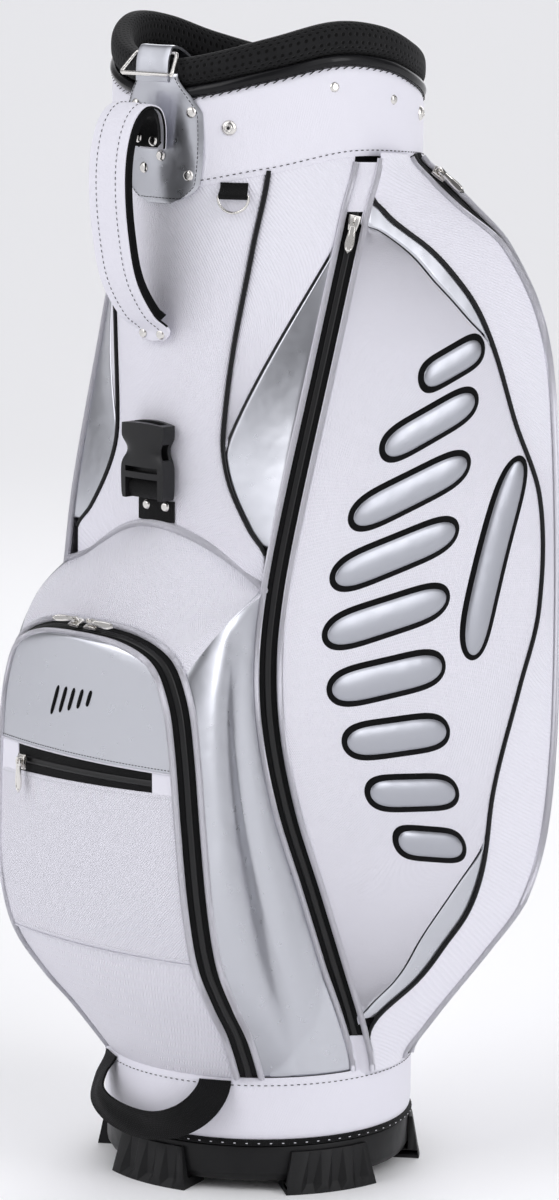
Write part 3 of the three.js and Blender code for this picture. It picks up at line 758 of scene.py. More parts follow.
cuff_seam = [on_bag(polar(t, top_cuff_radius + 0.1, mouth_bottom(t) + 4.5)) for t in around]
stitched("top_cuff_stitches", [cuff_seam], black_thread, pitch=5.2, length=2.2, thick=0.34)
overlock = []
for number in range(110):
    turn = number * 360 / 110
    overlock.append([on_bag(polar(turn + t, 121.4, mouth_top(turn + t) + rise))
                     for t, rise in ((0, -1.4), (1.0, -0.5), (2.0, 0.6))])
fit(cords("overlock_stitches", overlock, 0.45, roundness=0), black_thread, "black_webbing")

# ---- Collar ----
# A glossy welt of black vinyl, and above it a padded roll of black air mesh over foam, sewn
# down inside the mouth. The roll is swollen by its foam between its two seams.
collar_outer = 123.6
collar_inner = 103.5
piping_height = 9
piping_thick = 3.7
seam_gap = 0.7

vinyl_black = (0.008, 0.008, 0.009)
vinyl, tree, shader = finish_of("black_vinyl", vinyl_black, 0.16, coat=0.1, specular=0.15)
raise_by(tree, shader, noise(tree, coordinates_of(tree), 0.018), 0.35)
handled(tree, shader, vinyl_black, (0.04, 0.04, 0.042), 0.16, 0.2)


def collar_piping_surface(u, v):
    turn = u * 360
    middle = mouth_top(turn) + 0.35 + piping_height / 2
    wave = 0.35 * sin(radians(turn) * 7) + 0.25 * sin(radians(turn) * 17)
    thick = piping_thick + 0.3 * wave
    return polar(turn, cover_radius + thick * cos(2 * pi * v), middle + piping_height / 2 * sin(2 * pi * v))


fit(ring("collar_welt", 180, 20, collar_piping_surface), vinyl, "gloss_piping", "collar_piping")

holes, take, give = pattern_group(
    "air_mesh_holes", {"Coordinates": None, "Across": 0.004, "Along": 0.003},
    {"Hole": "NodeSocketFloat", "Height": "NodeSocketFloat"})
split = holes.nodes.new("ShaderNodeSeparateXYZ")
holes.links.new(take["Coordinates"], split.inputs[0])
row_place = reckon(holes, "DIVIDE", split.outputs["Y"], take["Along"])
odd = reckon(holes, "MULTIPLY", reckon(holes, "FLOOR", row_place), 0.5)
column_place = reckon(holes, "ADD", reckon(holes, "DIVIDE", split.outputs["X"], take["Across"]), odd)
from_column = reckon(holes, "SUBTRACT", reckon(holes, "FRACT", column_place), 0.5)
from_row = reckon(holes, "SUBTRACT", reckon(holes, "FRACT", row_place), 0.5)
squared = reckon(holes, "ADD", reckon(holes, "POWER", reckon(holes, "MULTIPLY", from_column, 1.25), 2.0),
                 reckon(holes, "POWER", from_row, 2.0))
edge = holes.nodes.new("ShaderNodeMapRange")
edge.inputs["From Min"].default_value = 0.04
edge.inputs["From Max"].default_value = 0.12
holes.links.new(squared, edge.inputs["Value"])
holes.links.new(edge.outputs[0], give["Height"])
holes.links.new(reckon(holes, "SUBTRACT", 1.0, edge.outputs[0]), give["Hole"])

air_mesh, tree, shader = finish_of("air_mesh", (0.011, 0.011, 0.012), 0.85, specular=0.12)
open_cells = placed_group(
    tree, holes, Coordinates=coordinates_of(tree, "UV"), Across=5.2 * mm, Along=3.6 * mm)
cloud = noise(tree, coordinates_of(tree), 0.02, 4.0)
thread_colour = blended(tree, cloud, (0.008, 0.008, 0.0085, 1), (0.018, 0.018, 0.019, 1))
# The holes are painted near black: partly the dark foam behind them, partly painted shade inside the holes.
mesh_colour = blended(tree, open_cells["Hole"], thread_colour, (0.003, 0.003, 0.003, 1))
join(tree, mesh_colour, shader.inputs["Base Color"])
raise_by(tree, shader, open_cells["Height"], 0.9)
shader.inputs["Sheen Weight"].default_value = 0.06


def collar_surface(u, v):
    """Round the section from the outer seam, over the top and down to the inner seam."""
    turn = u * 360
    low = mouth_top(turn) + piping_height + seam_gap
    half = collar_height(turn) / 2
    middle, wide = (collar_outer + collar_inner) / 2, (collar_outer - collar_inner) / 2 - 1.2
    angle = 2 * pi * v
    c, s = cos(angle), sin(angle)
    round_off = 0.7
    across = wide * (abs(c) ** round_off) * (1 if c > 0 else -1)
    up = half * (abs(s) ** round_off) * (1 if s > 0 else -1)
    if c < 0 and s < 0:
        up *= 1 + 0.5 * -c
    return polar(turn, middle + across, low + half + up)


def swell(piece, held, pressure, most):
    """Blows a padded piece up with cloth, its seams held, and moves no point further than most."""
    start = [vertex.co.copy() for vertex in piece.data.vertices]
    group = piece.vertex_groups.new(name="held")
    group.add(held, 1.0, "REPLACE")
    only(piece)
    bpy.ops.object.modifier_add(type="CLOTH")
    cloth = piece.modifiers[-1]
    cloth.settings.use_pressure = True
    cloth.settings.uniform_pressure_force = pressure
    cloth.settings.effector_weights.gravity = 0
    cloth.settings.vertex_group_mass = "held"
    cloth.settings.tension_stiffness = 12
    cloth.settings.compression_stiffness = 12
    cloth.settings.bending_stiffness = 0.3
    cloth.collision_settings.use_collision = False
    for frame_number in range(1, 21):
        bpy.context.scene.frame_set(frame_number)
    bpy.ops.object.modifier_apply(modifier=cloth.name)
    bpy.context.scene.frame_set(1)
    for vertex, before in zip(piece.data.vertices, start):
        moved = vertex.co - before
        if moved.length > most * mm:
            vertex.co = before + moved.normalized() * most * mm
    piece.vertex_groups.clear()


collar = ring("padded_collar", 200, 28, collar_surface)
outer_seam, inner_seam = [], []
for vertex in collar.data.vertices:
    place = vertex.co / mm
    turn = degrees(atan2(place.x, -(place.y - axis_y)))
    radius = hypot(place.x, place.y - axis_y)
    low = mouth_top(turn) + piping_height + seam_gap
    if place.z < low + 2.5 and radius > 110:
        outer_seam.append(vertex.index)
    if radius < collar_inner + 4 and abs(place.z - low - collar_height(turn) * 0.62) < 1.4:
        inner_seam.append(vertex.index)
swell(collar, outer_seam + inner_seam, 4, 3)
only(collar)
apply_new("SUBSURF", levels=1, render_levels=1)
bpy.ops.object.shade_smooth()
fit(collar, air_mesh, "collar_mesh", "collar_pad")

# ---- Body panels ----
# The front panel lies on the board tube between two lines of black piping, and the back panel
# lies behind. All are leathercloth with thin foam behind, sewn at the edges.
skin = 2.2
panel_hem, pocket_hem, narrow_hem = (2.5, 1.2), (2.5, 1.1), (2.2, 1.0)
shoulder_top = 522
shoulder_drop = 40
shoulder_turn = 44
gusset_start = 514


def white_panel(name, across, along, surface, hem, node):
    """A sewn panel of white twill with its hem turned in."""
    fit(sheet(name, across, along, surface, skin, tuck=hem, spaced=True), twill_white, "white_twill", node)


def silver_panel(name, across, along, surface, hem, *node, **how):
    """A sewn panel of silver leathercloth with its hem turned in."""
    fit(sheet(name, across, along, surface, skin, tuck=hem, **how), silver_cloth, "silver_leather", *node)


def front_panel_point(across, z):
    edge = outline(z)["front"]
    spread = turn_of(edge) - 0.9
    radius = max(cover_radius + (hypot(edge.x, edge.y) - cover_radius) * abs(across) ** 3, cover_radius)
    return polar(spread * across, radius, z)


def front_panel_surface(u, v):
    across = u * 2 - 1
    start = shoulder_top - shoulder_drop * across ** 2 - 2
    top = under_mouth(turn_of(front_panel_point(across, 790)))
    return front_panel_point(across, start + (top - start) * v)


white_panel("sewn_front_panel", 48, 70, front_panel_surface, panel_hem, "front_panel")
back_spread = 360 - 2 * back_turn


def back_panel_surface(u, v):
    turn = back_turn + 0.5 + u * (back_spread - 1)
    return polar(turn, cover_radius, cuff_top - 2 + v * (under_mouth(turn) - cuff_top + 2))


white_panel("sewn_back_panel", 30, 60, back_panel_surface, panel_hem, "back_panel")

# ---- Side pockets ----
# A large zipped pocket on each side: long coil zips in front and behind, an outer panel with
# a curved black piping, and a gusset behind it. Silver wedges lie along the piping.
side_names = {"right": 1, "left": -1}
side_bulge = 5
back_bulge = 8
# The black of the front zips begins and ends here, and all welts run up to the top cuff.
zip_low = 119
zip_high = 767
welt_top = 803
# The silver triangle of the front gusset rises from the piping to the zip.
silver_low = 580
silver_high = 742
wedge_curve = through([
    (134, 0), (142, 0.34), (161, 0.63), (206, 0.74), (234, 0.85), (260, 0.968), (275, 1),
    (657, 1), (683, 0.893), (710, 0.78), (736, 0.665), (751, 0.42), (757, 0)])

welt_white = leathercloth("welt_white", white, 1.4, 1.0, 0.2, 0.1)


def piping(z):
    return piping_share(z)[0]


def wedge(z):
    return piping(z) * wedge_curve(z)[0]


def silver_edge(z):
    return min(max((z - silver_low) / (silver_high - silver_low), 0.0), 1.0)


def levels(low, high, step=5):
    """Even heights from low to high, about a step apart."""
    count = max(int((high - low) / step), 2)
    return [low + (high - low) * i / count for i in range(count + 1)]


def panel_line(side, first, last, share, low, high, lift=0.0, bulge=0.0):
    """Places along a line between two lines of the outline, lifted off the panel."""
    return [on_bag(on_side(side, lifted(z, first, last, share(z), lift, bulge))) for z in levels(low, high)]


zip_tape = woven("zip_tape", (0.005, 0.005, 0.0055), 1.1, 0.72, 0.16)
zip_coil = finish_of("zip_coil", (0.006, 0.006, 0.0065), 0.35, specular=0.4)[0]
coil_pitch = 1.7
coil_width = 5.2


def coil(name, surface, length):
    """The teeth of a closed coil zip: a low ridged strip, surface(u, v, lift) along the tape."""
    teeth = int(length / coil_pitch)

    def ridged(u, v):
        tooth = abs(sin(pi * v * teeth))
        groove = exp(-((u - 0.5) / 0.09) ** 2)
        return surface(u, v, 0.25 + (0.55 + 0.5 * tooth) * sin(pi * min(max(u, 0.02), 0.98)) - 0.5 * groove)

    piece = grid(name, 6, teeth * 2, ridged)
    turned_out(piece)
    apply_new("SOLIDIFY", thickness=0.5 * mm, offset=-1)
    bpy.ops.object.shade_smooth()
    fit(piece, zip_coil, "zip_tape")


for name, side in side_names.items():
    def gusset(bottom, top, low, high):
        return cover(side, "front", "zip_front", bottom, top, low=low, high=high)

    def pocket(bottom, top, **shares):
        return cover(side, "zip_back", "corner", bottom, top, side_bulge, **shares)

    white_panel(f"{name}_gusset_white", 18, 60, gusset(silver_low, under_mouth, none, silver_edge),
                narrow_hem, f"{name}_front_gusset")
    silver_panel(f"{name}_gusset_silver", 18, 50, gusset(gusset_start, silver_high, silver_edge, whole),
                 narrow_hem, spaced=True)
    white_panel(f"{name}_outer_panel", 36, 110, pocket(130, 766, high=wedge), pocket_hem,
                f"{name}_side_panel")
    for part, low, high in (("low", 134, 273), ("high", 659, 772)):
        silver_wedge = pocket(low, high, low=wedge, high=piping, trim=0.8, lift=-0.3)
        silver_panel(f"{name}_wedge_{part}", 10, 40, silver_wedge, (1.8, 0.8))
    white_panel(f"{name}_pocket_gusset", 30, 110, pocket(cuff_top - 2, under_mouth, low=piping),
                pocket_hem, f"{name}_side_gusset")
    behind = cover(side, "corner_back", "back", cuff_top - 2, under_mouth, back_bulge)
    white_panel(f"{name}_back_panel", 36, 90, behind, pocket_hem, f"{name}_back_gusset")

    for zip_name, first, last in (("front", "zip_front", "zip_back"), ("back", "corner", "corner_back")):
        low = zip_low if zip_name == "front" else cuff_top - 1
        high = zip_high if zip_name == "front" else welt_top + 3
        tape = sheet(f"{name}_{zip_name}_tape", 8, 130,
                     cover(side, first, last, low, high, trim=0.0, lift=-0.9), 1.2)
        fit(tape, zip_tape, "zip_tape", f"{name}_{zip_name}_zip")

        def coil_surface(u, v, lift):
            z = low + (high - low) * v
            share = 0.5 + (u - 0.5) * coil_width / width_at(z, first, last)
            return on_side(side, lifted(z, first, last, share, lift - 0.9))

        coil(f"{name}_{zip_name}_coil", coil_surface, high - low)
    for part, low, high in (("low", cuff_top - 2, zip_low + 1), ("high", zip_high - 1, welt_top)):
        end = sheet(f"{name}_zip_end_{part}", 10, 12,
                    cover(side, "zip_front", "zip_back", low, high, trim=0.0, lift=0.2), 2.0)
        fit(end, welt_white, "white_twill")

    front_seam = panel_line(side, "front", "zip_front", none, gusset_start - 6, mouth_bottom(46) + 2, 0.6)
    fit(cords(f"{name}_front_piping", [front_seam], 1.9, roundness=3), vinyl, "gloss_piping")
    welts = [panel_line(side, first, last, edge, cuff_top, top, 0.2) for first, last, edge, top in (
        ("zip_front", "zip_back", none, welt_top), ("zip_front", "zip_back", whole, welt_top + 3),
        ("corner", "corner_back", none, welt_top), ("corner", "corner_back", whole, welt_top))]
    fit(cords(f"{name}_white_welts", welts, 2.5, roundness=3), welt_white, "white_twill")
    side_seam = panel_line(side, "zip_back", "corner", piping, 114, 777, 0.5, side_bulge)
    fit(cords(f"{name}_black_piping", [side_seam], 1.9, roundness=3), vinyl, "gloss_piping")
    back_seam = [on_bag(polar(side * back_turn, cover_radius + 0.6, z)) for z in levels(cuff_top, 797)]
    fit(cords(f"{name}_back_piping", [back_seam], 1.8, roundness=3), vinyl, "gloss_piping")

# ---- Ball pocket ----
# A boxy pocket on the front: a curved face between two arms of a U-shaped zip, silver sides,
# and a sloping shoulder sewn to the body under a white welt.
ball_zip_width = 20
# Each mark: how far along the edge, the place, and how far the zip has turned over the top.
face_edge = through([
    (0, 71.7, -98.7, 92, 0), (0.107, 84, -125, 130, 0), (0.194, 92, -149, 159, 0),
    (0.297, 99, -174, 197, 0), (0.408, 101, -187, 245, 0), (0.546, 97.4, -191.7, 306, 0),
    (0.683, 92.5, -194, 367, 0), (0.763, 86, -195, 402, 25), (0.832, 72, -197, 429, 50),
    (0.905, 42, -201, 442, 78), (1, 0, -204, 445, 90)])
face_rise = through([(92, 23), (200, 13), (445, 11)])
corner_share = 0.8
shoulder_low = shoulder_top - shoulder_drop


def face_mark(share):
    return Vector(face_edge(share)[:3])


def gusset_mark(share):
    """Where the U-shaped zip meets the silver side and the shoulder."""
    turn = radians(face_edge(share)[3])
    way = Vector((0.7 * cos(turn), 0.72, 0.33 * sin(turn))).normalized()
    return face_mark(share) + way * ball_zip_width


@lru_cache(maxsize=None)
def share_at(z):
    """How far up the face's edge a height is."""
    low, high = 0.0, 1.0
    for _ in range(24):
        middle = (low + high) / 2
        low, high = (middle, high) if face_edge(middle)[2] < z else (low, middle)
    return low


def face_point(x, z, lift=0.0):
    """A point on the bowed face, which is an arc across the bag at every height."""
    edge = face_mark(share_at(z))
    rise = max(face_rise(z)[0] * sqrt(min(1, edge.x / 70)), 0.05)
    radius = (edge.x ** 2 + rise ** 2) / (2 * rise)
    y = edge.y - rise + radius - sqrt(max(radius ** 2 - x ** 2, 0))
    return Vector((x, y - lift, z))


def half_face(z):
    return max(face_mark(share_at(z)).x - 1, 0.6)


def zip_upper(x):
    return 351 - 0.02 * (x + 68)


def zip_lower(x):
    return 329.5 + 0.02 * (x + 68)


face_low, ball_seam, face_high = 91, 199, 444.9
face_width = 97
face_zip_left, face_zip_right = -70, 76


def face_part(bottom, top, lift):
    """A stretch of the face between two lines across it, each a height at x."""
    def surface(u, v):
        x = (u * 2 - 1) * face_width
        z = bottom(x) + (top(x) - bottom(x)) * v
        return face_point((u * 2 - 1) * half_face(z), z, lift)
    return surface


face_hem = (2.0, 1.0)
fit(sheet("ball_face_ripple", 44, 50, face_part(lambda x: face_low, lambda x: ball_seam + 1, -0.8), skin,
          tuck=(2.5, 1.0), spaced=True), rippled_white, "white_twill", "ball_face")
fit(sheet("ball_face_check", 44, 50, face_part(lambda x: ball_seam, zip_lower, 0.6), skin,
          tuck=face_hem, spaced=True), checked_white, "white_twill")
silver_panel("ball_face_silver", 60, 60, face_part(zip_upper, lambda x: face_high, 0.6), face_hem,
             spaced=True)
for name, low_x, high_x in (("left", -99.0, face_zip_left), ("right", face_zip_right, 97.0)):
    def end_tab(u, v):
        x = low_x + (high_x - low_x) * u
        z = zip_lower(x) - 1 + (zip_upper(x) - zip_lower(x) + 2) * v
        limit = half_face(z)
        return face_point(max(min(x, limit), -limit), z, 0.2)

    fit(sheet(f"face_zip_end_{name}", 10, 10, end_tab, 1.6), plain_white, "white_twill")


def face_tape(u, v):
    x = face_zip_left - 3 + (face_zip_right - face_zip_left + 6) * v
    low, high = zip_lower(x) - 2, zip_upper(x) + 2
    return face_point(x, low + (high - low) * u, -0.6)


fit(sheet("face_zip_tape", 6, 60, face_tape, 1.2), zip_tape, "zip_tape", "face_zip")


def face_coil(u, v, lift):
    x = face_zip_left + (face_zip_right - face_zip_left) * v
    middle = (zip_lower(x) + zip_upper(x)) / 2 - 0.8
    return face_point(x, middle + (u - 0.5) * coil_width, lift - 0.6)


coil("face_zip_coil", face_coil, face_zip_right - face_zip_left)


@lru_cache(maxsize=None)
def u_way():
    """Shares up one arm of the U and down the other, with the length passed at each."""
    steps = 240
    shares = [1 - abs(2 * i / steps - 1) for i in range(steps + 1)]
    sides = [1 if i < steps / 2 else -1 for i in range(steps + 1)]
    points = [on_side(s, (face_mark(a) + gusset_mark(a)) / 2) for a, s in zip(shares, sides)]
    passed = [0.0]
    for a, b in zip(points, points[1:]):
        passed.append(passed[-1] + (b - a).length)
    return shares, passed


@lru_cache(maxsize=None)
def u_share(v):
    """The share of the face's edge, and its side, at a fraction of the whole U."""
    shares, passed = u_way()
    target = v * passed[-1]
    i = max(next((n for n, p in enumerate(passed) if p >= target), len(passed) - 1), 1)
    part = (target - passed[i - 1]) / (passed[i] - passed[i - 1])
    return shares[i - 1] + (shares[i] - shares[i - 1]) * part, 1 if v < 0.5 else -1


def u_zip(u, v, lift=0.0):
    share, side = u_share(v)
    face, gusset = face_mark(share), gusset_mark(share)
    ahead = face_mark(min(share + 0.004, 1)) - face_mark(max(share - 0.004, 0))
    out = ahead.cross(gusset - face)
    if out.dot(Vector((1, -0.4, 1.2 if share > 0.9 else 0.1))) < 0:
        out = -out
    return on_side(side, face.lerp(gusset, u) + out.normalized() * lift)


def face_line(height, reach):
    """Places along a line across the face, as far as a reach on both sides."""
    return [on_bag(face_point(x, height(x), 0.7)) for x in [reach * (i / 30 - 1) for i in range(61)]]


def front_of_face(place):
    return Vector((0, -1, 0))


folds = [face_line(lambda x: zip_upper(x) + 0.6, 95), face_line(lambda x: ball_seam - 0.4, 97)]
fit(cords("face_folds", folds, 0.9), plain_white, "white_leather")
stitched("face_stitches", [face_line(lambda x: zip_upper(x) + 3.4, 94)], black_thread, pitch=3.0, length=1.3,
         thick=0.34, out=front_of_face)
light_rows = [face_line(lambda x: zip_lower(x) - 3.2, 96), face_line(lambda x: ball_seam + 4.0, 98)]
stitched("face_light_stitches", light_rows, white_thread, pitch=3.6, length=2.6, thick=0.3, out=front_of_face)
ball_tape = sheet("ball_zip_tape", 8, 200, lambda u, v: u_zip(u, v, -1.0), 1.2, facing=Vector((0, -1, 0.2)))
fit(ball_tape, zip_tape, "zip_tape", "ball_zip")
coil_share = coil_width / ball_zip_width
u_length = u_way()[1][-1]
coil("ball_zip_coil", lambda u, v, lift: u_zip(0.5 + (u - 0.5) * coil_share, v, lift - 1.0), u_length)
ball_welts = [[on_bag(u_zip(edge, i / 300, 0.1)) for i in range(301)] for edge in (0.02, 0.98)]
fit(cords("ball_welts", ball_welts, 2.6, roundness=3), welt_white, "white_twill")


def shoulder_seam(across, lift=0.0):
    """The arched seam between the body and the pocket's shoulder, from side to side."""
    turn = across * shoulder_turn
    z = shoulder_top - shoulder_drop * across ** 2
    body = polar(turn, cover_radius + lift, z)
    return body.lerp(on_side(1 if across > 0 else -1, outline(shoulder_low)["zip_front"]), abs(across) ** 3)


@lru_cache(maxsize=None)
def share_across(across):
    """How far along the face's edge its top lies at a fraction of the corner's distance."""
    low, high = corner_share, 1.0
    for _ in range(24):
        middle = (low + high) / 2
        inside = gusset_mark(middle).x < across * gusset_mark(corner_share).x
        low, high = (low, middle) if inside else (middle, high)
    return low


def shoulder_surface(u, v):
    across = u * 2 - 1
    body = shoulder_seam(across)
    share = share_across(abs(across))
    front = on_side(1 if across > 0 else -1, gusset_mark(share))
    out = polar(across * shoulder_turn, 1, 0.7).normalized()
    return body.lerp(front, v) + out * sin(pi * v) * (8 + 1.5 * cos(pi * across / 2))


fit(sheet("ball_shoulder_top", 60, 40, shoulder_surface, skin, tuck=narrow_hem, facing=Vector((0, -1, 1))),
    checked_white, "white_twill", "ball_shoulder")
seam_steps = [i / 40 - 1 for i in range(81)]
fit(cords("shoulder_welt", [[on_bag(shoulder_seam(a, 1.2)) for a in seam_steps]], 3.4, roundness=4),
    welt_white, "white_twill")

for name, side in side_names.items():
    def silver_side(u, v):
        share = v * corner_share
        front = gusset_mark(share)
        height = front.z + (shoulder_low - gusset_mark(corner_share).z) * v ** 2
        back = outline(height)["zip_front"]
        point = clear_of_tube(front.lerp(back, u))
        out = polar(shoulder_turn, 1, 0.7).normalized()
        top_bulge = 8 * sin(pi * u) * v ** 6
        valley = 5.5 * exp(-((u - 0.42 - 0.3 * v) / 0.13) ** 2) * sin(pi * min(v * 1.02, 1)) ** 0.7
        swell_out = 7 * sin(pi * min(u / 0.6, 1)) * sin(pi * v) ** 0.8
        point += out * top_bulge + polar(60, 1, 0) * (swell_out - valley)
        return on_side(side, clear_of_tube(point))

    silver_panel(f"ball_silver_{name}", 40, 90, silver_side, narrow_hem, f"ball_side_{name}")

# ---- Padded marks ----
# Silver pads with a black corded edge on the outer panels and small black bars on the ball
# pocket: a plain rhythm of leaning bars.
pad_black = brushed("pad_black", (0.005, 0.005, 0.0055))
pad_silver = leathercloth("pad_silver", (0.42, 0.43, 0.47), 0, 0, 0, 0, metallic=0.85, roughness=0.36,
                          dulled=(0.34, 0.34, 0.38), creased=0.9)


def panel_place(side, across, z, lift):
    """A point on the side pocket's outer panel, a distance in from its zip."""
    share = across / width_at(z, "zip_back", "corner")
    return on_side(side, lifted(z, "zip_back", "corner", share, lift, side_bulge))


def pad_surface(place, across, z, length, width, lean, low, high):
    """A long rounded pad that leans by an angle and rises from low to high over the panel."""
    c, s = cos(radians(lean)), sin(radians(lean))

    def surface(u, v):
        t = sin(pi * (v - 0.5))
        side_way = u * 2 - 1
        half = width / 2 * (1 - abs(t) ** 5) ** 0.5
        reach = t * length / 2
        rise = low + (high - low) * sqrt(max(1 - side_way ** 2, 0)) * (1 - abs(t) ** 6) ** 0.5
        return place(across + reach * c - side_way * half * s, z + reach * s + side_way * half * c, rise)

    return surface


# Each bar: its middle in from the zip, its height, its length, its width and its lean.
side_bars = [
    (104, 648, 52, 22, 26), (96, 602, 80, 24, 26), (92, 552, 100, 25, 22), (90, 504, 106, 25, 17),
    (91, 456, 106, 25, 12), (94, 408, 100, 25, 7), (98, 361, 90, 24, 2), (102, 315, 76, 23, -4),
    (104, 272, 56, 22, -10), (181, 494, 150, 25, 84)]
edge_width = 8.5
for name, side in side_names.items():
    for number, (across, z, length, width, lean) in enumerate(side_bars, 1):
        def place(a, h, lift):
            return panel_place(side, a, h, lift)

        edging = sheet(f"{name}_mark_edge_{number}", 12, 40, pad_surface(
            place, across, z, length + edge_width, width + edge_width, lean, 0.1, 1.9), 1.0)
        fit(edging, pad_black, "black_webbing")
        pad = sheet(f"{name}_mark_pad_{number}", 14, 44,
                    pad_surface(place, across, z, length, width, lean, 0.9, 4.2), 1.0)
        fit(pad, pad_silver, "silver_leather")


def on_face(a, h, lift):
    return face_point(a, h, lift + 0.6)


face_bars = [(-22 + 9.5 * n, 392 + 1.5 * n, 26 - 3 * n) for n in range(5)]
for number, (across, z, length) in enumerate(face_bars, 1):
    bar = pad_surface(on_face, across, z, length, 3.4, 68, 0.1, 1.2)
    fit(sheet(f"face_mark_{number}", 6, 20, bar, 0.6, facing=Vector((0, -1, 0))), pad_black, "black_webbing")

# ---- Yoke, tab and strap ring ----
# A silver leather patch riveted over the cuff and the collar; its neck narrows to a tab that
# holds the nickel strap ring, folds over the collar and is sewn down inside.
bright_nickel = (0.78, 0.76, 0.73)
nickel, tree, shader = finish_of("nickel", bright_nickel, 0.16, metallic=1.0)
handled(tree, shader, bright_nickel, (0.45, 0.43, 0.41), 0.16, 0.45)
grained(tree, shader, 0.5, 1.0, 0.008)

yoke_half = through([(770, 12), (775, 26), (786, 38), (838, 40), (850, 32), (864, 21), (869, 20)])
yoke_radius = through([(770, 122.9), (835, 122.9), (846, 123.9), (858, 126), (869, 125.9)])
yoke_turn = 1.5
yoke_low, yoke_high = 770, 868.5
yoke_skin = 1.8
yoke_bend = 122


def yoke_turn_at(across, z):
    """The angle round the bag at a share of the yoke's half width."""
    return degrees(across * yoke_half(z)[0] / yoke_bend) + yoke_turn


def yoke_point(across, z, lift=0.0):
    """The yoke lies in a shallow fold and is pressed in beside the handle's end."""
    dent = 1.1 * exp(-((across + 0.25) / 0.22) ** 2 - ((z - 833) / 15) ** 2)
    fold = 0.9 * sin(across * 5 + z / 17) * sin(pi * (z - yoke_low) / 100)
    return polar(yoke_turn_at(across, z), yoke_radius(z)[0] + lift + 0.5 + fold - dent, z)


def yoke_surface(u, v):
    return yoke_point(u * 2 - 1, yoke_low + (yoke_high - yoke_low) * v)


fit(sheet("silver_yoke", 28, 50, yoke_surface, yoke_skin, tuck=narrow_hem), silver_cloth, "silver_leather",
    "yoke_patch")


def route(points):
    """A smooth way through (y, z) points, by distance, from 0 to 1."""
    passed = [0.0]
    for a, b in zip(points, points[1:]):
        passed.append(passed[-1] + hypot(b[0] - a[0], b[1] - a[1]))
    curve = through([(p, *point) for p, point in zip(passed, points)])
    return lambda share: curve(share * passed[-1])


def strap_surface(way, half, offset=0.0, crown=0.0):
    """A strap along a way in the bag's middle plane, offset towards the side the fingers hold."""
    def surface(u, v):
        y, z = way(v)
        ahead, behind = way(min(v + 0.004, 1)), way(max(v - 0.004, 0))
        tangent = Vector((0, ahead[0] - behind[0], ahead[1] - behind[1])).normalized()
        inward = Vector((1, 0, 0)).cross(tangent)
        across = u * 2 - 1
        return Vector((across * half(v), y, z)) + inward * (offset - crown * (1 - across ** 2))
    return surface


tab_way = route([(-127.9, 862), (-127.8, 872), (-126.6, 881), (-122.6, 889.2), (-116, 889.4), (-107, 885.4),
                 (-101.4, 880.4), (-99.8, 868), (-100.2, 850)])
tab_half = 17
tab_surface = strap_surface(tab_way, lambda v: tab_half, crown=0.4)
tab = sheet("silver_tab", 12, 60, tab_surface, yoke_skin, tuck=(1.2, 0.5), facing=Vector((0, -1, 1)))
fit(tab, silver_cloth, "silver_leather", "yoke_tab")
keep("strap_ring", nickel, rounding=2)


def yoke_line(across, low, high):
    return [on_bag(yoke_point(across, z, 0.2)) for z in levels(low, high, 3)]


stitched("yoke_stitches", [yoke_line(0.9, 774, 866), yoke_line(-0.9, 774, 866),
                           [on_bag(yoke_point(a / 10, 774, 0.2)) for a in range(-8, 9)]],
         black_thread, pitch=3.4, length=2.2, thick=0.26)


def joined(*pieces):
    """Joins pieces into the first of them."""
    bpy.ops.object.select_all(action="DESELECT")
    for piece in pieces:
        piece.select_set(True)
    bpy.context.view_layer.objects.active = pieces[0]
    bpy.ops.object.join()
    return pieces[0]


def rivets(name, places, size, finish=nickel):
    """Capped rivets: low round heads with a turned-down rim, standing on the leather."""
    heads = []
    for place, out in places:
        bpy.ops.object.select_all(action="DESELECT")
        bpy.ops.mesh.primitive_uv_sphere_add(segments=28, ring_count=14, radius=1)
        head = bpy.context.object
        turn = out.to_track_quat("Z", "Y").to_matrix().to_4x4()
        for vertex in head.data.vertices:
            x, y, z = vertex.co
            spread = hypot(x, y)
            flat = 0.36 * (1 - spread ** 4) + (0.05 if 0.55 < spread < 0.8 else 0)
            vertex.co = Vector((x, y, flat if z > 0 else -0.2 * (1 - spread ** 2))) * size * mm
        head.data.transform(Matrix.Translation(place) @ turn)
        heads.append(head)
    row = joined(*heads)
    row.name = row.data.name = name
    bpy.ops.object.shade_smooth()
    fit(row, finish, "nickel")


def on_yoke(turn, z):
    """A place on the yoke by its angle, with the way out there."""
    across = radians(turn - yoke_turn) * yoke_bend / yoke_half(z)[0]
    place = on_bag(yoke_point(across, z, 0.2))
    return place, away(place)


yoke_rivets = [(-10, 844), (16, 840), (2.6, 806), (-5.5, 796), (15, 792)]
rivets("yoke_rivets", [on_yoke(*at) for at in yoke_rivets], 4.4)


# ---- Snaps and rivets of the cuff ----
# Nickel press studs for the rain hood stand round the top cuff, each a flange with a rolled
# ring, and in it a black dome that is painted shade for the socket's hole. Domed rivets
# between them hold the cuff to the tube.
def stud(turn, z, radius=top_cuff_radius):
    """Where a stud or a rivet stands, with its way out."""
    place = on_bag(polar(turn, radius, z))
    return place, away(place)


cuff_rivets = [(68.5, 860), (96.4, 849), (-68.5, 860), (-96.4, 849), (150, 829), (-150, 829), (180, 826)]
rivets("cuff_rivets", [stud(*at) for at in cuff_rivets], 3.9)
snap_places = [stud(*at) for at in ((30, 829), (-30, 829), (120, 836), (-120, 836))]
rivets("snap_flanges", snap_places, 6.0)


def snap_ring(place, out):
    """A rolled ring that stands on a press stud's flange."""
    middle, upright = place + out * 2.2 * mm, Vector((0, 0, 1))
    level = out.cross(upright)
    turns = [2 * pi * i / 20 for i in range(20)]
    return [middle + (level * cos(a) + upright * sin(a)) * 2.6 * mm for a in turns]


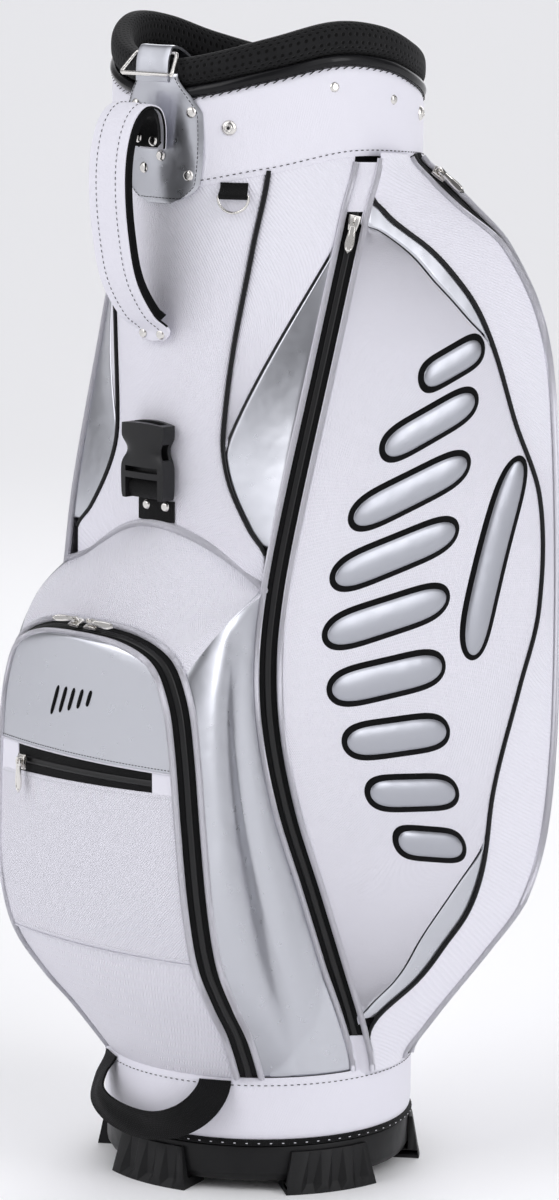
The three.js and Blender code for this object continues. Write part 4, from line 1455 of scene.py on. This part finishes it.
fit(cords("snap_rings", [snap_ring(*flange) for flange in snap_places], 0.7, closed=True), nickel, "nickel")
# The socket's hole is drawn as a small black dome in the ring: painted shade of the hole.
painted_socket_shade = finish_of("painted_socket_shade", (0.01, 0.01, 0.01), 0.5)[0]
socket_places = [(place + out * 1.7 * mm, out) for place, out in snap_places]
rivets("snap_socket_shade", socket_places, 1.7, finish=painted_socket_shade)

# ---- Carry handle ----
# A stiff strap of white leathercloth with a thick lining of black felt on the finger side. It
# is riveted to the yoke at the top and through the front panel at its lower end.
handle_half = 19
handle_way = route([
    (-127, 811), (-129.5, 829), (-137, 841), (-151, 843.5), (-163, 833), (-170.5, 812), (-172.5, 785),
    (-169, 750), (-160, 714), (-141.5, 686.5), (-124.6, 674), (-122.4, 664)])


def handle_width(v):
    start = 0.68 + 0.32 * min(v / 0.14, 1)
    tip = sqrt(max(1 - (max(v - 0.955, 0) / 0.0452) ** 2, 0.02))
    return handle_half * start * tip


felt = brushed("felt", (0.006, 0.006, 0.0065))
felt_thick = 8.0
fit(sheet("handle_strap", 16, 110, strap_surface(handle_way, handle_width, offset=-2.2, crown=0.7), 2.2,
          facing=Vector((0, -1, 0))), plain_white, "white_leather", "handle")


def lining_surface(u, v):
    """The felt stops short of both riveted ends."""
    felt_side = strap_surface(handle_way, lambda s: handle_width(s) - 0.3, offset=felt_thick + 0.2)
    return felt_side(u, 0.02 + 0.9 * v)


handle_lining = sheet("handle_lining", 16, 110, lining_surface, felt_thick, tuck=(1.6, 1.2),
                      facing=Vector((0, 1, 0)))
fit(handle_lining, felt, "collar_mesh", "handle_pad")


def handle_line(across):
    """A row of stitches on the outside of the strap, a distance from its middle."""
    row = strap_surface(handle_way, handle_width, offset=-2.9)
    steps = [0.1 + 0.855 * i / 100 for i in range(101)]
    return [on_bag(row(0.5 + across / handle_width(v) / 2, v)) for v in steps]


def forward(place):
    return Vector((0, -1, 0.2))


stitch_row = handle_half * 0.68 - 2.5
stitched("handle_stitches", [handle_line(stitch_row), handle_line(-stitch_row)], black_thread,
         pitch=4.4, length=2.0, thick=0.3, out=forward)
strap_edge = strap_surface(handle_way, handle_width, offset=-0.2)
edges = [[on_bag(strap_edge(edge, 0.01 + 0.93 * i / 100)) for i in range(101)] for edge in (0, 1)]
fit(cords("handle_edge", edges, 0.9), felt, "collar_mesh")


rivets("handle_rivets", [stud(-2.4, 820, 136.4), stud(4.2, 818, 136.0)], 4.2)
rivets("handle_low_rivets", [stud(-4.2, 670, 126.2), stud(4.4, 670, 126.2)], 4.2)

# ---- Towel ring ----
# A nickel D ring for a towel hangs below the top cuff. A short loop of black webbing, sewn
# under the cuff's edge, is folded round the ring's straight bar.
towel_turn = 32
towel_high, towel_length, towel_bar = 787.8, 12.6, 778.2
keep("towel_ring", nickel, rounding=2)


def towel_loop_surface(u, v):
    """The webbing swells out where it is folded round the ring's bar."""
    z = towel_high - towel_length * v
    fold = 5.6 * exp(-((z - towel_bar) / 4.2) ** 2)
    return polar(towel_turn + (u - 0.5) * 10.2, cover_radius + 1.2 + fold, z)


fit(sheet("towel_webbing", 12, 14, towel_loop_surface, 1.3), black_webbing, "black_webbing", "towel_loop")

# ---- Buckle ----
# The female half of a side-release buckle, moulded in black plastic, on a short strip of
# webbing that is riveted to the bag and goes round the bar at the buckle's lower end.
buckle_black = moulded("buckle_black", (0.014, 0.014, 0.015), 0.34, 0.8, 0.02)
buckle_back = -(cover_radius + 3.1)
buckle_low, buckle_high, buckle_deep = 542.6, 600.4, 12.8
buckle_width = through([
    (540, 20.5), (546, 22.3), (566, 22.6), (572, 21.2), (577, 18.6), (583, 18.4), (587, 20.4), (590, 22.2),
    (601, 22.4)])
slot_half = 17.4


def block(name, low, high, cuts=0):
    """A box between two corners, its faces cut into smaller ones."""
    bpy.ops.object.select_all(action="DESELECT")
    bpy.ops.mesh.primitive_cube_add(size=1)
    piece = bpy.context.object
    piece.name = piece.data.name = name
    if cuts:
        bpy.ops.object.mode_set(mode="EDIT")
        bpy.ops.mesh.subdivide(number_cuts=cuts)
        bpy.ops.object.mode_set(mode="OBJECT")
    for vertex in piece.data.vertices:
        vertex.co = [a + (b - a) * (c + 0.5) for a, b, c in zip(low, high, vertex.co)]
    return piece


def settled(piece, angle=40):
    """A block drawn in millimetres, put on the bag and smoothed."""
    for vertex in piece.data.vertices:
        vertex.co = on_bag(vertex.co)
    only(piece)
    bpy.ops.object.shade_smooth_by_angle(angle=radians(angle))
    return piece


def carve(piece, *cutters):
    """Cuts shapes out of a piece and removes them."""
    for cutter in cutters:
        only(piece)
        apply_new("BOOLEAN", object=cutter, operation="DIFFERENCE", solver="EXACT")
        bpy.data.objects.remove(cutter)
    return piece


shell = block(
    "buckle_shell", (-1, buckle_back - buckle_deep, buckle_low), (1, buckle_back, buckle_high), 27)
for vertex in shell.data.vertices:
    x, y, z = vertex.co
    across, deep = abs(x), (buckle_back - y) / buckle_deep
    half = buckle_width(z)[0]
    arch = 1.6 * (1 - x ** 2) * deep + 0.5 * sin(pi * (z - buckle_low) / (buckle_high - buckle_low)) * deep
    scoop = 2.4 * across ** 4 * exp(-((z - 580) / 6) ** 2) * deep
    crest = 2.6 * (1 - x ** 2) * max((z - 588) / 12.4, 0) ** 2
    vertex.co = (x * half, y - arch + scoop, z + crest * (1 - 0.5 * deep))


def opening(name, half, front, back, low, high):
    """A square hole through the shell, between two depths in front of its back."""
    return block(name, (-half, buckle_back - front, low), (half, buckle_back - back, high))


carve(shell,
      opening("slot", slot_half, 10.6, 3, 570, 606),
      opening("window", 30, 10.2, 3.4, 573.8, 586),
      opening("bar_gap", slot_half, 20, 6, 563.4, 567.6),
      opening("webbing_gap", slot_half, 20, 5.4, 540, 558.6))
only(shell)
apply_new("BEVEL", width=0.7, segments=2, limit_method="ANGLE", angle_limit=radians(50))
fit(settled(shell, 35), buckle_black, "black_plastic", "buckle", body="buckle")


def bar_surface(u, v):
    """The bar that the webbing is pulled against, with fine ribs across it."""
    ribs = 0.35 * abs(sin(pi * u * 24))
    out = 6 + 4.6 * sin(pi * (0.08 + 0.84 * v)) + ribs
    return Vector((17.2 * (u * 2 - 1), buckle_back - out, 558.8 + 4.4 * v))


def wrap_surface(u, v):
    out = 4.4 + 6.4 * sin(pi * (0.06 + 0.88 * v)) ** 0.6
    return Vector((16.6 * (u * 2 - 1), buckle_back - out, 543.2 + 15 * v))


bar = sheet("buckle_bar", 60, 14, bar_surface, 1.6, facing=Vector((0, -1, 0)))
fit(bar, buckle_black, "black_plastic", body="buckle")
webbing_wrap = sheet("buckle_webbing_wrap", 16, 30, wrap_surface, 1.4, facing=Vector((0, -1, 0)))
fit(webbing_wrap, black_webbing, "black_webbing", body="buckle")
webbing_half, strip_low, strip_length = 19, 524.6, 16.3


def webbing_point(x, z, lift=0.0):
    return polar(degrees(x / cover_radius), cover_radius + 1.9 + lift, z)


def strip_surface(u, v):
    return webbing_point((u * 2 - 1) * webbing_half, strip_low + strip_length * v)


fit(sheet("buckle_webbing_strip", 14, 12, strip_surface, 1.4), black_webbing, "black_webbing",
    "buckle_webbing")
webbing_rivets = [on_bag(webbing_point(x, 536.4, -0.1)) for x in (-9.5, 10.5)]
rivets("webbing_rivets", [(place, away(place)) for place in webbing_rivets], 4.0)

# ---- Grab loop ----
# A loop of black webbing at the front of the bottom cuff, for lifting the bag by its foot. Its
# ends are caught in the seam above the cuff.
loop_span, loop_drop, loop_half, loop_seam, loop_bend = 60, 41, 13, 90, 122
loop_reach = through([
    (0, 124.4), (0.12, 134), (0.25, 142), (0.5, 137), (0.75, 142), (0.88, 134), (1, 124.4)])


def loop_surface(u, v):
    turn = pi * v
    wide = (u * 2 - 1) * (loop_half - 0.3)
    along = (loop_span + wide) * cos(turn)
    height = loop_seam - (loop_drop + wide * 0.9) * sin(turn)
    crease = 0.5 * sin(u * 9 + v * 14) * sin(pi * v)
    return polar(degrees(along / loop_bend), loop_reach(v)[0] + crease, height)


grab_webbing = sheet("grab_webbing", 12, 90, loop_surface, 1.8, facing=Vector((0, -1, 0)))
fit(grab_webbing, black_webbing, "black_webbing", "grab_loop", body="grab_loop")

# ---- Zip sliders and pullers ----
# Cast nickel sliders with a bridge on top, and long framed pullers with a pointed end, each
# swinging from its slider's bridge.
slider_drop, slider_stand = 2, 5.75
puller_top, puller_length, puller_wall, puller_height = 3, 27, 1.4, 6.5
puller_width = through([
    (0, 1.7), (0.6, 2.7), (2.5, 3.1), (6, 2.5), (10, 2.6), (15, 3.2), (20, 3.4), (24, 2.5), (27, 0.1)])
slider_half, slider_reach, slider_low, slider_high = 4.4, 5.9, 1.0, 4.1


def slider_mesh():
    """A body that narrows and falls towards its ends, slotted for the tapes, with its bridge."""
    body = block("slider", (-slider_half, -slider_reach, slider_low),
                 (slider_half, slider_reach, slider_high), 5)
    for vertex in body.data.vertices:
        x, y, z = vertex.co
        narrow = 1 - 0.3 * ((slider_reach - y) / (2 * slider_reach)) ** 2
        dome = 1 - 0.3 * (y / slider_reach) ** 2 * (z - slider_low) / (slider_high - slider_low)
        vertex.co = (x * narrow, y, z * dome)
    carve(body, *(block("tape_slot", (low, -7, 2.1), (high, 7, 2.8))
                  for low, high in ((-6, -2.9), (2.9, 6))))
    only(body)
    apply_new("BEVEL", width=0.3, segments=2, limit_method="ANGLE", angle_limit=radians(50))
    bridge = [(-4.6, 3.2), (-3.4, 4.1), (-1.2, 4.3), (-0.1, 4.9), (0.3, 6.0), (1.0, 7.2), (2.4, 7.8),
              (3.6, 7.5), (4.5, 6.0), (4.9, 3.4)]
    return joined(body, cords("bridge", [[Vector((0, y, z)) for y, z in bridge]], 0.58 / mm))


def puller_mesh():
    """A long plate with a pointed end, sunk inside its rim on both faces, with an eye at its top."""
    def face(height, turned):
        def surface(u, v):
            down = puller_length * v
            half = puller_width(down)[0]
            x = (u * 2 - 1) * half
            rim = min(half - abs(x), down - 5.2, puller_length - 1.6 - down)
            sunk = 0.42 * min(max((rim - 0.75) / 0.3, 0), 1)
            return Vector((x * turned, puller_top - down, height - sunk * turned))
        return surface

    plate = joined(*(grid("puller", 18, 64, face(height, turned))
                     for height, turned in ((puller_height, 1), (puller_height - puller_wall, -1))))
    for vertex in plate.data.vertices:
        place = vertex.co / mm
        vertex.co = (place.x, place.y - axis_y, place.z)
    bpy.ops.object.mode_set(mode="EDIT")
    bpy.ops.mesh.select_all(action="DESELECT")
    bpy.ops.mesh.select_non_manifold()
    bpy.ops.mesh.bridge_edge_loops()
    bpy.ops.mesh.select_all(action="SELECT")
    bpy.ops.mesh.normals_make_consistent(inside=False)
    bpy.ops.object.mode_set(mode="OBJECT")
    carve(plate, block("eye", (-0.95, -1.3, 3), (0.95, 2.1, 9)))
    only(plate)
    bpy.ops.object.shade_smooth_by_angle(angle=radians(35))
    return plate


zip_names = [joint["name"].removesuffix("_puller_swing") for joint in frame["joints"]
             if joint["name"].endswith("_puller_swing")]
joint_of = {joint["name"]: joint for joint in frame["joints"]}
slider_pattern, puller_pattern = slider_mesh(), puller_mesh()
only(slider_pattern)
bpy.ops.object.shade_smooth_by_angle(angle=radians(35))
for name in zip_names:
    swing, travel = joint_of[f"{name}_puller_swing"], joint_of[f"{name}_zip_travel"]
    down = Vector((0, 0, -1)) if travel["type"] == "hinge" else Vector(travel["axis"]).normalized()
    across = Vector(swing["axis"]).normalized()
    out = across.cross(down).normalized()
    middle = Vector(swing["pos_m"]) + (down * slider_drop - out * slider_stand) * mm
    basis = Matrix((out.cross(down), -down, out)).transposed()
    where = Matrix.Translation(middle) @ basis.to_4x4() @ Matrix.Scale(mm, 4)
    for part, pattern in (("slider", slider_pattern), ("puller", puller_pattern)):
        piece = bpy.data.objects.new(f"{name}_{part}_cast", pattern.data.copy())
        bpy.context.collection.objects.link(piece)
        piece.data.transform(where)
        fit(piece, nickel, "nickel", f"{name}_{part}", body=f"{name}_{part}")
bpy.data.objects.remove(slider_pattern)
bpy.data.objects.remove(puller_pattern)

# ---- Scene update ----
bpy.context.view_layer.update()
